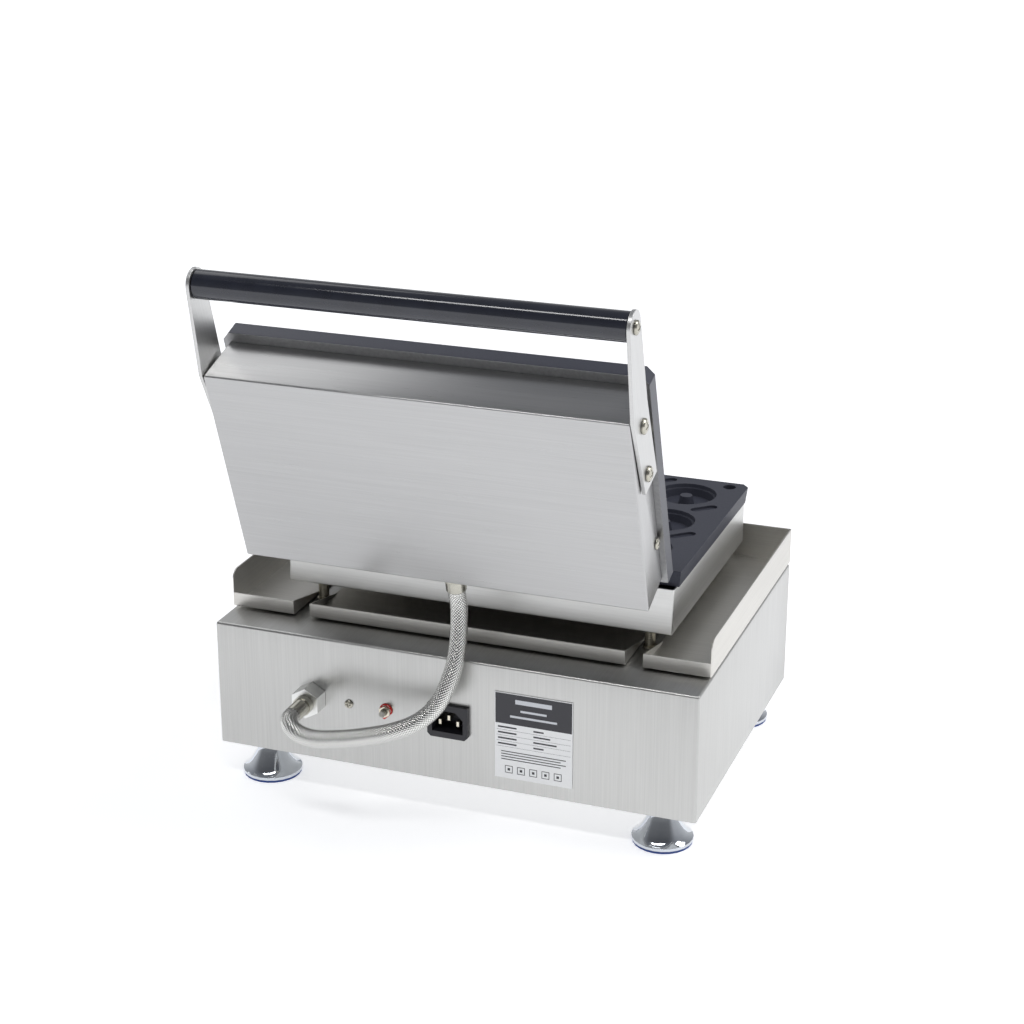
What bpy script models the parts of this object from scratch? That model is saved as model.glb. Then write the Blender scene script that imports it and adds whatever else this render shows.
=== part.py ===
"""Electric mini donut maker: a steel base on levelling feet, a pull-out drip tray, two cast plates
with fifteen ring wells each, a lid that hinges open to the rear and a braided hose for its wiring.

Metres, +Z up. The controls face -Y, the rear wall faces +Y and the lid stands open.
"""

import math

import bmesh
import bpy
import numpy as np
from mathutils import Matrix, Vector

MM = 0.001

# Fits
FIT = 0.3 * MM  # gap between pieces that touch
HOLE_CLEARANCE = 0.4 * MM  # gap around a shank, shaft or stud in its hole
OVERCUT = 5 * MM  # how far a cutter reaches past the face it opens
ROUND_STEPS = 24  # sides of a large round piece
SMALL_STEPS = 14  # sides of a screw, pin or stud
WELL_STEPS = 20  # sides of a well

# Base housing and its bottom cover
BASE_WIDTH = 380 * MM
BASE_DEPTH = 266 * MM
BASE_HEIGHT = 100 * MM
BASE_SHEET = 1.2 * MM
BEND_RADIUS = 1.8 * MM
COVER_FLANGE = 10 * MM
COLLAR_RADIUS = 8 * MM
COLLAR_HEIGHT = 6 * MM

# Levelling feet
FOOT_HEIGHT = 31 * MM  # from the surface to the underside of the base
FOOT_SIDE_INSET = 31.3 * MM
FOOT_END_INSET = 23.8 * MM
BELL_RADIUS = 23 * MM
BELL_RIM = 2.2 * MM
BELL_HOLLOW = 1.5  # how hollow its slope is; 1 is a cone
BELL_STEPS = 6
NECK_RADIUS = 9.5 * MM
NECK_LENGTH = 6.5 * MM
STUD_RADIUS = 4 * MM
STUD_LENGTH = 18 * MM
PAD_RADIUS = 22.4 * MM
PAD_THICKNESS = 1.8 * MM

# Drip tray
TRAY_LIFT = 1.5 * MM  # underside of its floor above the base
TRAY_SETBACK = 30 * MM  # its rear edge ahead of the rear wall
TRAY_SHEET = 1 * MM
TRAY_WALL = 28.8 * MM
TRAY_CORNER_RADIUS = 8 * MM
TRAY_LIP = 11 * MM
GUSSET_LENGTH = 48 * MM
BOSS_RADIUS = 5 * MM
BOSS_SIDE = 160 * MM
BOSS_INSET = 22 * MM

# Posts that carry the cooking unit
POST_SIDE = 132 * MM
POST_REAR = 70 * MM
POST_FRONT = 239 * MM
POST_RADIUS = 4.1 * MM
POST_FLANGE_WIDTH = 1.3 * MM
POST_FLANGE = 1.5 * MM
POST_HEIGHT = 19 * MM
SLOT_CLEARANCE = 1.35 * MM  # between a post's flange and its slot

# Lower box, an open steel pan under the lower plate
BOX_HALF_WIDTH = 153.2 * MM
BOX_REAR = 53.4 * MM
BOX_REAR_LEAN = 3.1 * MM
BOX_FRONT = 254.5 * MM
BOX_HEIGHT = 34.5 * MM
BOX_SHEET = 1.2 * MM

# Cast plates: distances forward of the hinge axis and heights from it
PLATE_OVERHANG = 3.3 * MM  # past the side of the lower box
LOWER_PLATE_THICKNESS = 12.5 * MM
UPPER_PLATE_THICKNESS = 12.4 * MM
PLATE_DRAFT = 1.5 * MM
PLATE_FACE = 8.5 * MM  # top of the lower plate
LOWER_PLATE_REAR = 5.6 * MM
LOWER_PLATE_FRONT = 201.6 * MM
UPPER_PLATE_REAR = 7 * MM
UPPER_PLATE_FRONT = 198.8 * MM
UPPER_NOTCH_WIDTH = 14 * MM
UPPER_NOTCH_DEPTH = 13.8 * MM
CORNER_CHAMFER_SIDE = 6 * MM
CORNER_CHAMFER_FRONT = 5 * MM

# Wells in both plates
WELL_COLUMNS = 5
WELL_ROWS = 3
WELL_COLUMN_PITCH = 57.25 * MM
WELL_ROW_PITCH = 61 * MM
FIRST_WELL_ROW = 42.6 * MM  # rear row, forward of the hinge axis
WELL_RADIUS = 24 * MM
WELL_WALL_LEAN = 1.2 * MM  # from the ledge in to the floor
WELL_DEPTH = 9 * MM
WELL_STEP_WIDTH = 2 * MM  # from the rim in to the ledge
WELL_STEP_DEPTH = 3 * MM
WELL_STEP_FLARE = 0.6 * MM  # how far the wall leans in over that depth
WELL_PIN_RADIUS = 4.8 * MM
WELL_PIN_LEAN = 1.7 * MM  # from the pin's top out to its foot
WELL_PIN_SINK = 1 * MM
CORNER_HOLE_RADIUS = 5.2 * MM
CORNER_HOLE_DEPTH = 7 * MM
CORNER_HOLE_SIDE = 142.4 * MM
CORNER_HOLE_FRONT = 191.4 * MM
GROOVE_LENGTH = 23 * MM
GROOVE_WIDTH = 8 * MM
GROOVE_DEPTH = 2 * MM
GROOVE_ANGLE = math.radians(43)
SIDE_GROOVE_X = 136.5 * MM
FRONT_GROOVE_OFFSET = 3.6 * MM
FRONT_GROOVE_EDGE = 14 * MM

# Hinge
HINGE_SETBACK = 55.4 * MM  # axis ahead of the rear wall
HINGE_ABOVE_BOX = 4.5 * MM  # axis above the top of the lower box
LID_OPEN_ANGLE = math.radians(109.2)
KNUCKLE_WALL = 2.2 * MM  # round the pin
KNUCKLE_WIDTH = 14 * MM
KNUCKLE_SIDE = 110 * MM  # where the two knuckles of a pair meet
PIN_RADIUS = 3 * MM
PIN_HEAD_RADIUS = 4.6 * MM
PIN_HEAD = 2.5 * MM
NOTCH_CLEARANCE = 1 * MM

# Lid box, in distances forward of the hinge axis and heights from it with the lid shut
LID_PANEL_HEIGHT = 61.1 * MM
LID_PANEL_REAR = 27.6 * MM
LID_PANEL_FRONT = 189.1 * MM
LID_PANEL_MARGIN = 1.9 * MM
LID_MOUTH_REAR = 23.2 * MM
LID_MOUTH_FRONT = 191.1 * MM
LID_MOUTH_MARGIN = 4.5 * MM  # in from the side of the plate
LID_SHEET = 1.2 * MM
LID_BEND_RADIUS = 1.4 * MM

# Handle and its arms
HANDLE_REACH = 251.5 * MM
HANDLE_HEIGHT = 40.2 * MM
GRIP_RADIUS = 10.25 * MM
GRIP_EDGE = 0.8 * MM  # chamfer
GRIP_BORE = 3.4 * MM
ARM_THICKNESS = 2.5 * MM
ARM_END_RIM = 1.25 * MM  # round the grip
ARM_TAIL = 124.5 * MM
ARM_TAIL_LOW = 25.5 * MM
ARM_TAIL_HIGH = 51.5 * MM
ARM_SHOULDER_LOW = 31 * MM
ARM_SCREW_HEIGHT = 43.6 * MM
ARM_SCREW_REACHES = (136.3 * MM, 175.8 * MM)
SIDE_SCREW_HEIGHT = 26.9 * MM
SIDE_SCREW_REACHES = (61.1 * MM, 154.6 * MM)

# Screws
SCREW_SHANK = 2 * MM
ARM_SCREW_HEAD = 5.6 * MM
ARM_SCREW_DOME = 3 * MM
ARM_SCREW_LENGTH = 11 * MM
SIDE_SCREW_HEAD = 4.4 * MM
SIDE_SCREW_DOME = 1.8 * MM
SIDE_SCREW_LENGTH = 7 * MM
HANDLE_SCREW_HEAD = 5 * MM
HANDLE_SCREW_DOME = 2.6 * MM
HANDLE_SCREW_LENGTH = 18 * MM
REAR_SCREW_HEAD = 3.4 * MM
REAR_SCREW_DOME = 2 * MM
REAR_SCREW_LENGTH = 9 * MM
RECESS_WIDTH = 0.9 * MM
RECESS_DEPTH = 1 * MM

# Heating elements
HEATER_RADIUS = 4 * MM
HEATER_RUNS = 4
HEATER_PITCH = 50 * MM
HEATER_HALF_LENGTH = 108 * MM
HEATER_MIDDLE = 107.3 * MM  # forward of the hinge axis
TURN_STEPS = 8

# Rear wall fittings, by distance from the middle and height above the underside of the base
INLET_HEIGHT = 49.7 * MM
INLET_BEZEL_WIDTH = 32 * MM
INLET_BEZEL_HEIGHT = 26.4 * MM
INLET_BEZEL = 3.2 * MM
INLET_BEZEL_CHAMFER = 2.6 * MM
INLET_BODY_WIDTH = 27.6 * MM
INLET_BODY_HEIGHT = 22.4 * MM
INLET_BODY_DEPTH = 18 * MM
INLET_CAVITY_WIDTH = 24.4 * MM
INLET_CAVITY_HEIGHT = 17 * MM
INLET_CAVITY_DEPTH = 16 * MM
INLET_CAVITY_CHAMFER = 6 * MM
BLADE_WIDTH = 2 * MM
BLADE_HEIGHT = 4 * MM
BLADE_LENGTH = 17 * MM
BLADE_SINK = 3 * MM  # tips below the face of the inlet
BLADE_SPREAD = 7 * MM
EARTH_BLADE_RAISE = 4 * MM
EARTH_X = 50.3 * MM
EARTH_STUD_RADIUS = 2.4 * MM
EARTH_STUD_OUT = 8.5 * MM
EARTH_STUD_IN = 7 * MM
EARTH_NUT_RADIUS = 4.6 * MM
EARTH_NUT_THICKNESS = 3.4 * MM
EARTH_TAG_WIDTH = 9.5 * MM
EARTH_TAG_LENGTH = 15 * MM
EARTH_TAG_THICKNESS = 0.5 * MM
REAR_SCREW_X = 80.6 * MM
RATING_PLATE_NEAR = 36.4 * MM
RATING_PLATE_FAR = 96.6 * MM
RATING_PLATE_LOW = 11 * MM
RATING_PLATE_HIGH = 80 * MM
RATING_PLATE_THICKNESS = 0.5 * MM

# Braided hose and its end fittings
HOSE_X = 110.5 * MM
HOSE_HEIGHT = 51 * MM
HOSE_DIAMETER = 13 * MM
HOSE_STRAIGHT = 2 * MM  # leaves each fitting square before it bends
HOSE_NUT_FLATS = 21 * MM
HOSE_NUT_THICKNESS = 14 * MM
HOSE_THREAD_RADIUS = 4.8 * MM
HOSE_THREAD_IN = 10 * MM
COLLAR_TUBE_RADIUS = 7.4 * MM
COLLAR_TUBE_END = 20 * MM
FERRULE_RADIUS = 6.1 * MM
FERRULE_END = 35 * MM
RIB_PITCH = 2 * MM
RIB_DEPTH = 0.4 * MM
LID_HOSE_X = -6 * MM
LID_HOSE_HEIGHT = 49.7 * MM
LID_RING_RADIUS = 9.2 * MM
LID_RING = 2.6 * MM
LID_FERRULE_WALL = 1.1 * MM  # round the hose
LID_FERRULE_END = 12 * MM

# The hose's route between its two fittings: x, behind the rear wall, above the base's underside
HOSE_ROUTE = (
    (109.6 * MM, 42.5 * MM, 50.7 * MM),
    (106.5 * MM, 47.5 * MM, 49.5 * MM),
    (99 * MM, 52.5 * MM, 47.5 * MM),
    (88 * MM, 54 * MM, 45.5 * MM),
    (68 * MM, 50 * MM, 46 * MM),
    (48 * MM, 43.5 * MM, 48.5 * MM),
    (30 * MM, 37.5 * MM, 52.5 * MM),
    (12 * MM, 31 * MM, 60.5 * MM),
    (0 * MM, 24.5 * MM, 72 * MM),
    (-6.5 * MM, 18 * MM, 87 * MM),
    (-9.5 * MM, 10.8 * MM, 102 * MM),
    (-9.6 * MM, 4.5 * MM, 116 * MM),
    (-8.6 * MM, -0.5 * MM, 130 * MM),
    (-7.3 * MM, -3.2 * MM, 143 * MM),
)

# Front controls
CONTROL_HEIGHT = 50 * MM
SWITCH_X = -135 * MM
POWER_LAMP_X = -95 * MM
THERMOSTAT_X = -35 * MM
HEAT_LAMP_X = 20 * MM
TIMER_X = 80 * MM
KNOB_RADIUS = 18.5 * MM
KNOB_EDGE = 1.5 * MM  # chamfer
KNOB_SKIRT_RADIUS = 20.5 * MM
KNOB_SKIRT = 3.5 * MM
KNOB_PROJECTION = 24 * MM
KNOB_BORE_DEPTH = 15 * MM
POINTER_WIDTH = 2.4 * MM
POINTER_DEPTH = 1 * MM
SHAFT_RADIUS = 3 * MM
BUSHING_RADIUS = 4.6 * MM
CONTROL_BODY_RADIUS = 17 * MM
THERMOSTAT_BODY_DEPTH = 24 * MM
TIMER_BODY_DEPTH = 34 * MM
SWITCH_BEZEL_WIDTH = 26 * MM
SWITCH_BEZEL_HEIGHT = 31 * MM
SWITCH_BEZEL = 2 * MM
SWITCH_BODY_WIDTH = 21.5 * MM
SWITCH_BODY_HEIGHT = 27 * MM
SWITCH_BODY_DEPTH = 17 * MM
SWITCH_WALL = 1.6 * MM
SWITCH_POCKET_DEPTH = 14 * MM
ROCKER_THROW = math.radians(16)
ROCKER_PIVOT_DEPTH = 6 * MM
ROCKER_ARM = 10.2 * MM
ROCKER_WAIST = 8.2 * MM
ROCKER_TIP = 9.4 * MM
ROCKER_BACK = 4.5 * MM
LAMP_HOLE_RADIUS = 4.6 * MM
LAMP_COLLAR_RADIUS = 6.4 * MM
LAMP_COLLAR = 1.6 * MM
LAMP_LENS_RADIUS = 4.8 * MM
LAMP_LENS = 5 * MM
LAMP_BODY_DEPTH = 14 * MM

# Mains terminal block inside the base
TERMINAL_WIDTH = 48 * MM
TERMINAL_DEPTH = 20 * MM
TERMINAL_HEIGHT = 15 * MM
TERMINAL_SETBACK = 45 * MM
TERMINAL_WAYS = 4
TERMINAL_WELL_RADIUS = 3 * MM
TERMINAL_WELL_DEPTH = 6 * MM

# Sizes worked out from those above
WELL_STEP_RADIUS = WELL_RADIUS - WELL_STEP_WIDTH
WELL_FLOOR_RADIUS = WELL_STEP_RADIUS - WELL_WALL_LEAN
WELL_PIN_FOOT = WELL_PIN_RADIUS + WELL_PIN_LEAN
POST_FLANGE_RADIUS = POST_RADIUS + POST_FLANGE_WIDTH
KNUCKLE_RADIUS = PIN_RADIUS + KNUCKLE_WALL
LID_FERRULE_RADIUS = HOSE_DIAMETER / 2 + LID_FERRULE_WALL
PLATE_HALF_WIDTH = BOX_HALF_WIDTH + PLATE_OVERHANG
LID_MOUTH_HALF_WIDTH = PLATE_HALF_WIDTH - LID_MOUTH_MARGIN
LID_PANEL_HALF_WIDTH = PLATE_HALF_WIDTH - LID_PANEL_MARGIN
ARM_END_RADIUS = GRIP_RADIUS + ARM_END_RIM
OPEN_REACH = HANDLE_REACH * -math.cos(LID_OPEN_ANGLE) + HANDLE_HEIGHT * math.sin(LID_OPEN_ANGLE)
REAR_REACH = OPEN_REACH + ARM_END_RADIUS - HINGE_SETBACK  # the arm ends, behind the rear wall
REAR_Y = (BASE_DEPTH + KNOB_PROJECTION - REAR_REACH) / 2  # centres the whole object on the origin
FRONT_Y = REAR_Y - BASE_DEPTH
BASE_TOP = FOOT_HEIGHT + BASE_HEIGHT
HALF_WIDTH = BASE_WIDTH / 2
BOX_BOTTOM = BASE_TOP + POST_HEIGHT
BOX_TOP = BOX_BOTTOM + BOX_HEIGHT
HINGE_Y = REAR_Y - HINGE_SETBACK
HINGE_Z = BOX_TOP + HINGE_ABOVE_BOX
UPPER_FACE = PLATE_FACE + FIT
LID_MOUTH = UPPER_FACE + UPPER_PLATE_THICKNESS + FIT
ARM_SIDE = LID_PANEL_HALF_WIDTH + FIT
LUG_BITE = 3 * MM  # how far a hinge lug reaches into its plate

# Finishes: material name, linear colour, metallic, roughness
BRUSHED_STEEL = ("brushed stainless steel", (0.56, 0.56, 0.54), 1.0, 0.34)
POLISHED_STEEL = ("polished stainless steel", (0.64, 0.63, 0.6), 1.0, 0.2)
CHROME = ("chrome plating", (0.72, 0.73, 0.76), 1.0, 0.08)
BRAID = ("braided steel wire", (0.5, 0.5, 0.48), 1.0, 0.4)
COATED_IRON = ("non-stick coated cast metal", (0.03, 0.032, 0.045), 0.1, 0.45)
HEATING_STEEL = ("oxidised heating element", (0.11, 0.1, 0.09), 0.8, 0.5)
GLOSS_BLACK = ("gloss black plastic", (0.012, 0.012, 0.015), 0.0, 0.15)
MATT_BLACK = ("matt black plastic", (0.02, 0.02, 0.025), 0.0, 0.45)
BLUE_RUBBER = ("dark blue rubber", (0.02, 0.06, 0.3), 0.0, 0.6)
BRASS = ("tinned brass", (0.72, 0.66, 0.5), 1.0, 0.25)
LABEL = ("printed label film", (0.75, 0.76, 0.78), 0.0, 0.4)
RED_TAG = ("red tag film", (0.7, 0.03, 0.02), 0.0, 0.45)
GREEN_LENS = ("green lens plastic", (0.02, 0.4, 0.08), 0.0, 0.15)
AMBER_LENS = ("amber lens plastic", (0.8, 0.25, 0.02), 0.0, 0.15)
CERAMIC = ("white ceramic", (0.7, 0.68, 0.62), 0.0, 0.35)


def clear_scene():
    for obj in list(bpy.data.objects):
        bpy.data.objects.remove(obj, do_unlink=True)


def material(name, colour, metallic, roughness):
    """The Principled material of that name, made the first time it is asked for."""
    made = bpy.data.materials.get(name)
    if made is None:
        made = bpy.data.materials.new(name)
        made.use_nodes = True
        shader = made.node_tree.nodes["Principled BSDF"]
        shader.inputs["Base Color"].default_value = (*colour, 1)
        shader.inputs["Metallic"].default_value = metallic
        shader.inputs["Roughness"].default_value = roughness
    return made


def place(name, data, finish, parent):
    """A named object in the scene, with its one material."""
    data.materials.append(material(*finish))
    obj = bpy.data.objects.new(name, data)
    obj.parent = parent
    bpy.context.collection.objects.link(obj)
    return obj


def from_bmesh(name, bm, finish, parent, smooth=False):
    bmesh.ops.recalc_face_normals(bm, faces=bm.faces)
    mesh = bpy.data.meshes.new(name)
    bm.to_mesh(mesh)
    bm.free()
    if smooth:
        mesh.shade_smooth()
        mesh.set_sharp_from_angle(angle=math.radians(38))
    return place(name, mesh, finish, parent)


def pivot(name, at, tilt=0.0):
    """An empty on a joint's axis, turned about X by the pose that the piece is modelled in."""
    empty = bpy.data.objects.new(name, None)
    empty.location = at
    empty.rotation_euler.x = tilt
    bpy.context.collection.objects.link(empty)
    return empty


def at_level(point, axis, level):
    """A 2D point put on the plane where one axis has the given value."""
    return (*point[:axis], level, *point[axis:])


def add_loft(bm, sections, axis, bend=0.0):
    """Skin outlines of equal length, given as (level, outline), and round every fold by a bend radius.

    The edges of the first section stay sharp, because that is a shell's open end.
    """
    rings = []
    for level, outline in sections:
        rings.append([bm.verts.new(at_level(point, axis, level)) for point in outline])
    bm.faces.new(rings[0])
    bm.faces.new(rings[-1])
    for lower, upper in zip(rings, rings[1:]):
        for i in range(len(lower)):
            j = (i + 1) % len(lower)
            bm.faces.new((lower[i], lower[j], upper[j], upper[i]))
    if bend:
        first = set(rings[0])
        folds = [edge for edge in bm.edges if not first.issuperset(edge.verts)]
        bmesh.ops.bevel(bm, geom=folds, offset=bend, segments=3, profile=0.5, affect="EDGES")


def loft(name, sections, axis, finish, parent=None, bend=0.0):
    bm = bmesh.new()
    add_loft(bm, sections, axis, bend)
    return from_bmesh(name, bm, finish, parent)


def prism(name, outline, axis, start, end, finish, parent=None):
    return loft(name, [(start, outline), (end, outline)], axis, finish, parent)


def rectangle(low_a, high_a, low_b, high_b):
    return [(low_a, low_b), (high_a, low_b), (high_a, high_b), (low_a, high_b)]


def block(name, low, high, finish, parent=None):
    outline = rectangle(low[0], high[0], low[1], high[1])
    return prism(name, outline, 2, low[2], high[2], finish, parent)


def arc(centre, radius, start, end, steps):
    """Points on an arc, with both its ends."""
    angles = [start + (end - start) * i / steps for i in range(steps + 1)]
    return [(centre[0] + radius * math.cos(a), centre[1] + radius * math.sin(a)) for a in angles]


def add_turned(bm, profile, centre, steps):
    """Spin (radius, height) points about a vertical axis; a profile off the axis becomes a ring."""
    before = set(bm.verts)
    points = [bm.verts.new((centre[0] + radius, centre[1], height)) for radius, height in profile]
    edges = [bm.edges.new(pair) for pair in zip(points, points[1:])]
    if profile[0][0] > 0:
        edges.append(bm.edges.new((points[-1], points[0])))
    bmesh.ops.spin(
        bm,
        geom=points + edges,
        cent=(*centre, 0),
        axis=(0, 0, 1),
        angle=2 * math.pi,
        steps=steps,
        use_merge=True,
    )
    new = [vert for vert in bm.verts if vert not in before]
    bmesh.ops.remove_doubles(bm, verts=new, dist=0.001 * MM)


def turned(name, profile, finish, at=(0, 0, 0), along=(0, 0, 1), parent=None, steps=SMALL_STEPS):
    """A turned piece whose axis starts at a point and runs along a direction."""
    bm = bmesh.new()
    add_turned(bm, profile, (0, 0), steps)
    obj = from_bmesh(name, bm, finish, parent, smooth=True)
    obj.location = at
    obj.rotation_euler = Vector((0, 0, 1)).rotation_difference(Vector(along)).to_euler()
    return obj


def cylinder(radius, start, end):
    """The profile of a plain cylinder."""
    return [(0, start), (radius, start), (radius, end), (0, end)]


def dome(radius, base, height, steps=3):
    """The profile of a pan head, from its rim to the axis."""
    rim = 0.35 * height
    crown = arc((0, 0), 1, 0, math.pi / 2, steps)[:-1]
    profile = [(radius, base)]
    profile += [(radius * c, base + rim + (height - rim) * s) for c, s in crown]
    return profile + [(0, base + height)]


def apply_boolean(body, tool, operation):
    modifier = body.modifiers.new(tool.name, "BOOLEAN")
    modifier.operation = operation
    modifier.object = tool
    tool.hide_render = True
    tool.display_type = "WIRE"


def cut(body, tool):
    apply_boolean(body, tool, "DIFFERENCE")


def fuse(body, tool):
    apply_boolean(body, tool, "UNION")


def drill(body, label, radius, at, along, depth, steps=SMALL_STEPS):
    """A round hole into a face, from just outside it to a depth."""
    name = f"cutter_{body.name}_{label}"
    profile = cylinder(radius, -depth, OVERCUT)
    cut(body, turned(name, profile, MATT_BLACK, at, along, body.parent, steps))


def pan_screw(name, at, along, head, height, length, finish, parent=None):
    """A cross-head screw whose head stands on the face at a point."""
    profile = [(0, -length), (SCREW_SHANK, -length), (SCREW_SHANK, FIT)] + dome(head, FIT, height)
    screw = turned(name, profile, finish, at, along, parent)
    reach = 0.62 * head
    crown = FIT + height
    for number, (half_x, half_y) in enumerate(((reach, RECESS_WIDTH / 2), (RECESS_WIDTH / 2, reach))):
        tool_name = f"cutter_{name}_recess_{number}"
        low = (-half_x, -half_y, crown - RECESS_DEPTH)
        tool = block(tool_name, low, (half_x, half_y, crown + OVERCUT), MATT_BLACK, parent)
        tool.location = screw.location
        tool.rotation_euler = screw.rotation_euler
        cut(screw, tool)
    return screw


def rear(distance):
    """The Y of a plane at a distance ahead of the rear wall."""
    return REAR_Y - distance


# Base


def base_opening(body, label, x, z, width, height, y):
    """A rectangular hole through the wall at a given Y."""
    name = f"cutter_{body.name}_{label}"
    low = (x - width / 2 - FIT, y - OVERCUT, z - height / 2 - FIT)
    high = (x + width / 2 + FIT, y + OVERCUT, z + height / 2 + FIT)
    cut(body, block(name, low, high, MATT_BLACK))


def base_housing():
    outline = rectangle(-HALF_WIDTH, HALF_WIDTH, FRONT_Y, REAR_Y)
    sections = [(FOOT_HEIGHT, outline), (BASE_TOP, outline)]
    body = loft("base_housing", sections, 2, BRUSHED_STEEL, bend=BEND_RADIUS)
    inside = HALF_WIDTH - BASE_SHEET
    low = (-inside, FRONT_Y + BASE_SHEET, FOOT_HEIGHT - OVERCUT)
    high = (inside, REAR_Y - BASE_SHEET, BASE_TOP - BASE_SHEET)
    cut(body, block("cutter_base_cavity", low, high, MATT_BLACK))
    inlet_z = FOOT_HEIGHT + INLET_HEIGHT
    base_opening(body, "inlet", 0, inlet_z, INLET_BODY_WIDTH, INLET_BODY_HEIGHT, REAR_Y)
    control_z = FOOT_HEIGHT + CONTROL_HEIGHT
    base_opening(body, "switch", SWITCH_X, control_z, SWITCH_BODY_WIDTH, SWITCH_BODY_HEIGHT, FRONT_Y)
    rear_holes = (
        ("hose", HOSE_X, FOOT_HEIGHT + HOSE_HEIGHT, HOSE_THREAD_RADIUS),
        ("earth", EARTH_X, inlet_z, EARTH_STUD_RADIUS),
        ("screw", REAR_SCREW_X, inlet_z, SCREW_SHANK),
    )
    for label, x, z, radius in rear_holes:
        drill(body, label, radius + HOLE_CLEARANCE, (x, REAR_Y, z), (0, 1, 0), OVERCUT)
    front_holes = (
        ("power_lamp", POWER_LAMP_X, LAMP_HOLE_RADIUS),
        ("thermostat", THERMOSTAT_X, BUSHING_RADIUS),
        ("heat_lamp", HEAT_LAMP_X, LAMP_HOLE_RADIUS),
        ("timer", TIMER_X, BUSHING_RADIUS),
    )
    for label, x, radius in front_holes:
        drill(body, label, radius + HOLE_CLEARANCE, (x, FRONT_Y, control_z), (0, -1, 0), OVERCUT)


def foot_places():
    side = HALF_WIDTH - FOOT_SIDE_INSET
    ends = (("rear", REAR_Y - FOOT_END_INSET), ("front", FRONT_Y + FOOT_END_INSET))
    return [(f"{end}_{hand}", s * side, y) for end, y in ends for hand, s in (("left", -1), ("right", 1))]


def bottom_cover():
    """A folded pan inside the walls, with a threaded collar for each foot."""
    half = HALF_WIDTH - BASE_SHEET - FIT
    front = FRONT_Y + BASE_SHEET + FIT
    back = REAR_Y - BASE_SHEET - FIT
    outline = rectangle(-half, half, front, back)
    top = FOOT_HEIGHT + COVER_FLANGE
    sections = [(top, outline), (FOOT_HEIGHT, outline)]
    cover = loft("bottom_cover", sections, 2, BRUSHED_STEEL, bend=BEND_RADIUS)
    low = (-half + BASE_SHEET, front + BASE_SHEET, FOOT_HEIGHT + BASE_SHEET)
    high = (half - BASE_SHEET, back - BASE_SHEET, top + OVERCUT)
    cut(cover, block("cutter_cover_inside", low, high, MATT_BLACK))
    collar = cylinder(COLLAR_RADIUS, BASE_SHEET / 2, BASE_SHEET + COLLAR_HEIGHT)
    for label, x, y in foot_places():
        at = (x, y, FOOT_HEIGHT)
        fuse(cover, turned(f"collar_{label}", collar, BRUSHED_STEEL, at))
        drill(cover, label, STUD_RADIUS + HOLE_CLEARANCE, at, (0, 0, -1), COLLAR_HEIGHT + OVERCUT)
    screw_at = (0, rear(TERMINAL_SETBACK), FOOT_HEIGHT)
    drill(cover, "terminal", SCREW_SHANK + HOLE_CLEARANCE, screw_at, (0, 0, -1), OVERCUT)


def foot_profile():
    """A threaded stud, a straight neck and a bell that flares out to its rim."""
    top = FOOT_HEIGHT - FIT
    neck = top - NECK_LENGTH
    sole = PAD_THICKNESS + FIT
    rim = sole + BELL_RIM
    curve = []
    for step in range(BELL_STEPS + 1):
        share = step / BELL_STEPS
        drop = 1 - (1 - share) ** BELL_HOLLOW
        curve.append((NECK_RADIUS + share * (BELL_RADIUS - NECK_RADIUS), neck - drop * (neck - rim)))
    stud = [(0, top + STUD_LENGTH), (STUD_RADIUS, top + STUD_LENGTH), (STUD_RADIUS, top)]
    return stud + [(NECK_RADIUS, top)] + curve + [(BELL_RADIUS, sole), (0, sole)]


def feet():
    for label, x, y in foot_places():
        turned(f"foot_{label}", foot_profile(), CHROME, (x, y, 0), steps=ROUND_STEPS)
        pad = cylinder(PAD_RADIUS, 0, PAD_THICKNESS)
        turned(f"foot_pad_{label}", pad, BLUE_RUBBER, (x, y, 0), steps=ROUND_STEPS)


# Drip tray, in a frame with its origin under the middle of its rear edge


def slot_edges():
    """Inner and outer distance of a post slot from the middle."""
    half = POST_FLANGE_RADIUS + SLOT_CLEARANCE
    return POST_SIDE - half, POST_SIDE + half


def tray_gusset(tray, label, x, frame):
    """A triangular fold that stiffens the rear lip beside a slot."""
    root = TRAY_SHEET / 3
    outline = [(-root, root), (-root, TRAY_LIP), (-GUSSET_LENGTH, TRAY_SHEET), (-GUSSET_LENGTH, root)]
    name = f"gusset_{label}"
    fuse(tray, prism(name, outline, 0, x - TRAY_SHEET, x + TRAY_SHEET, BRUSHED_STEEL, frame))


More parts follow.
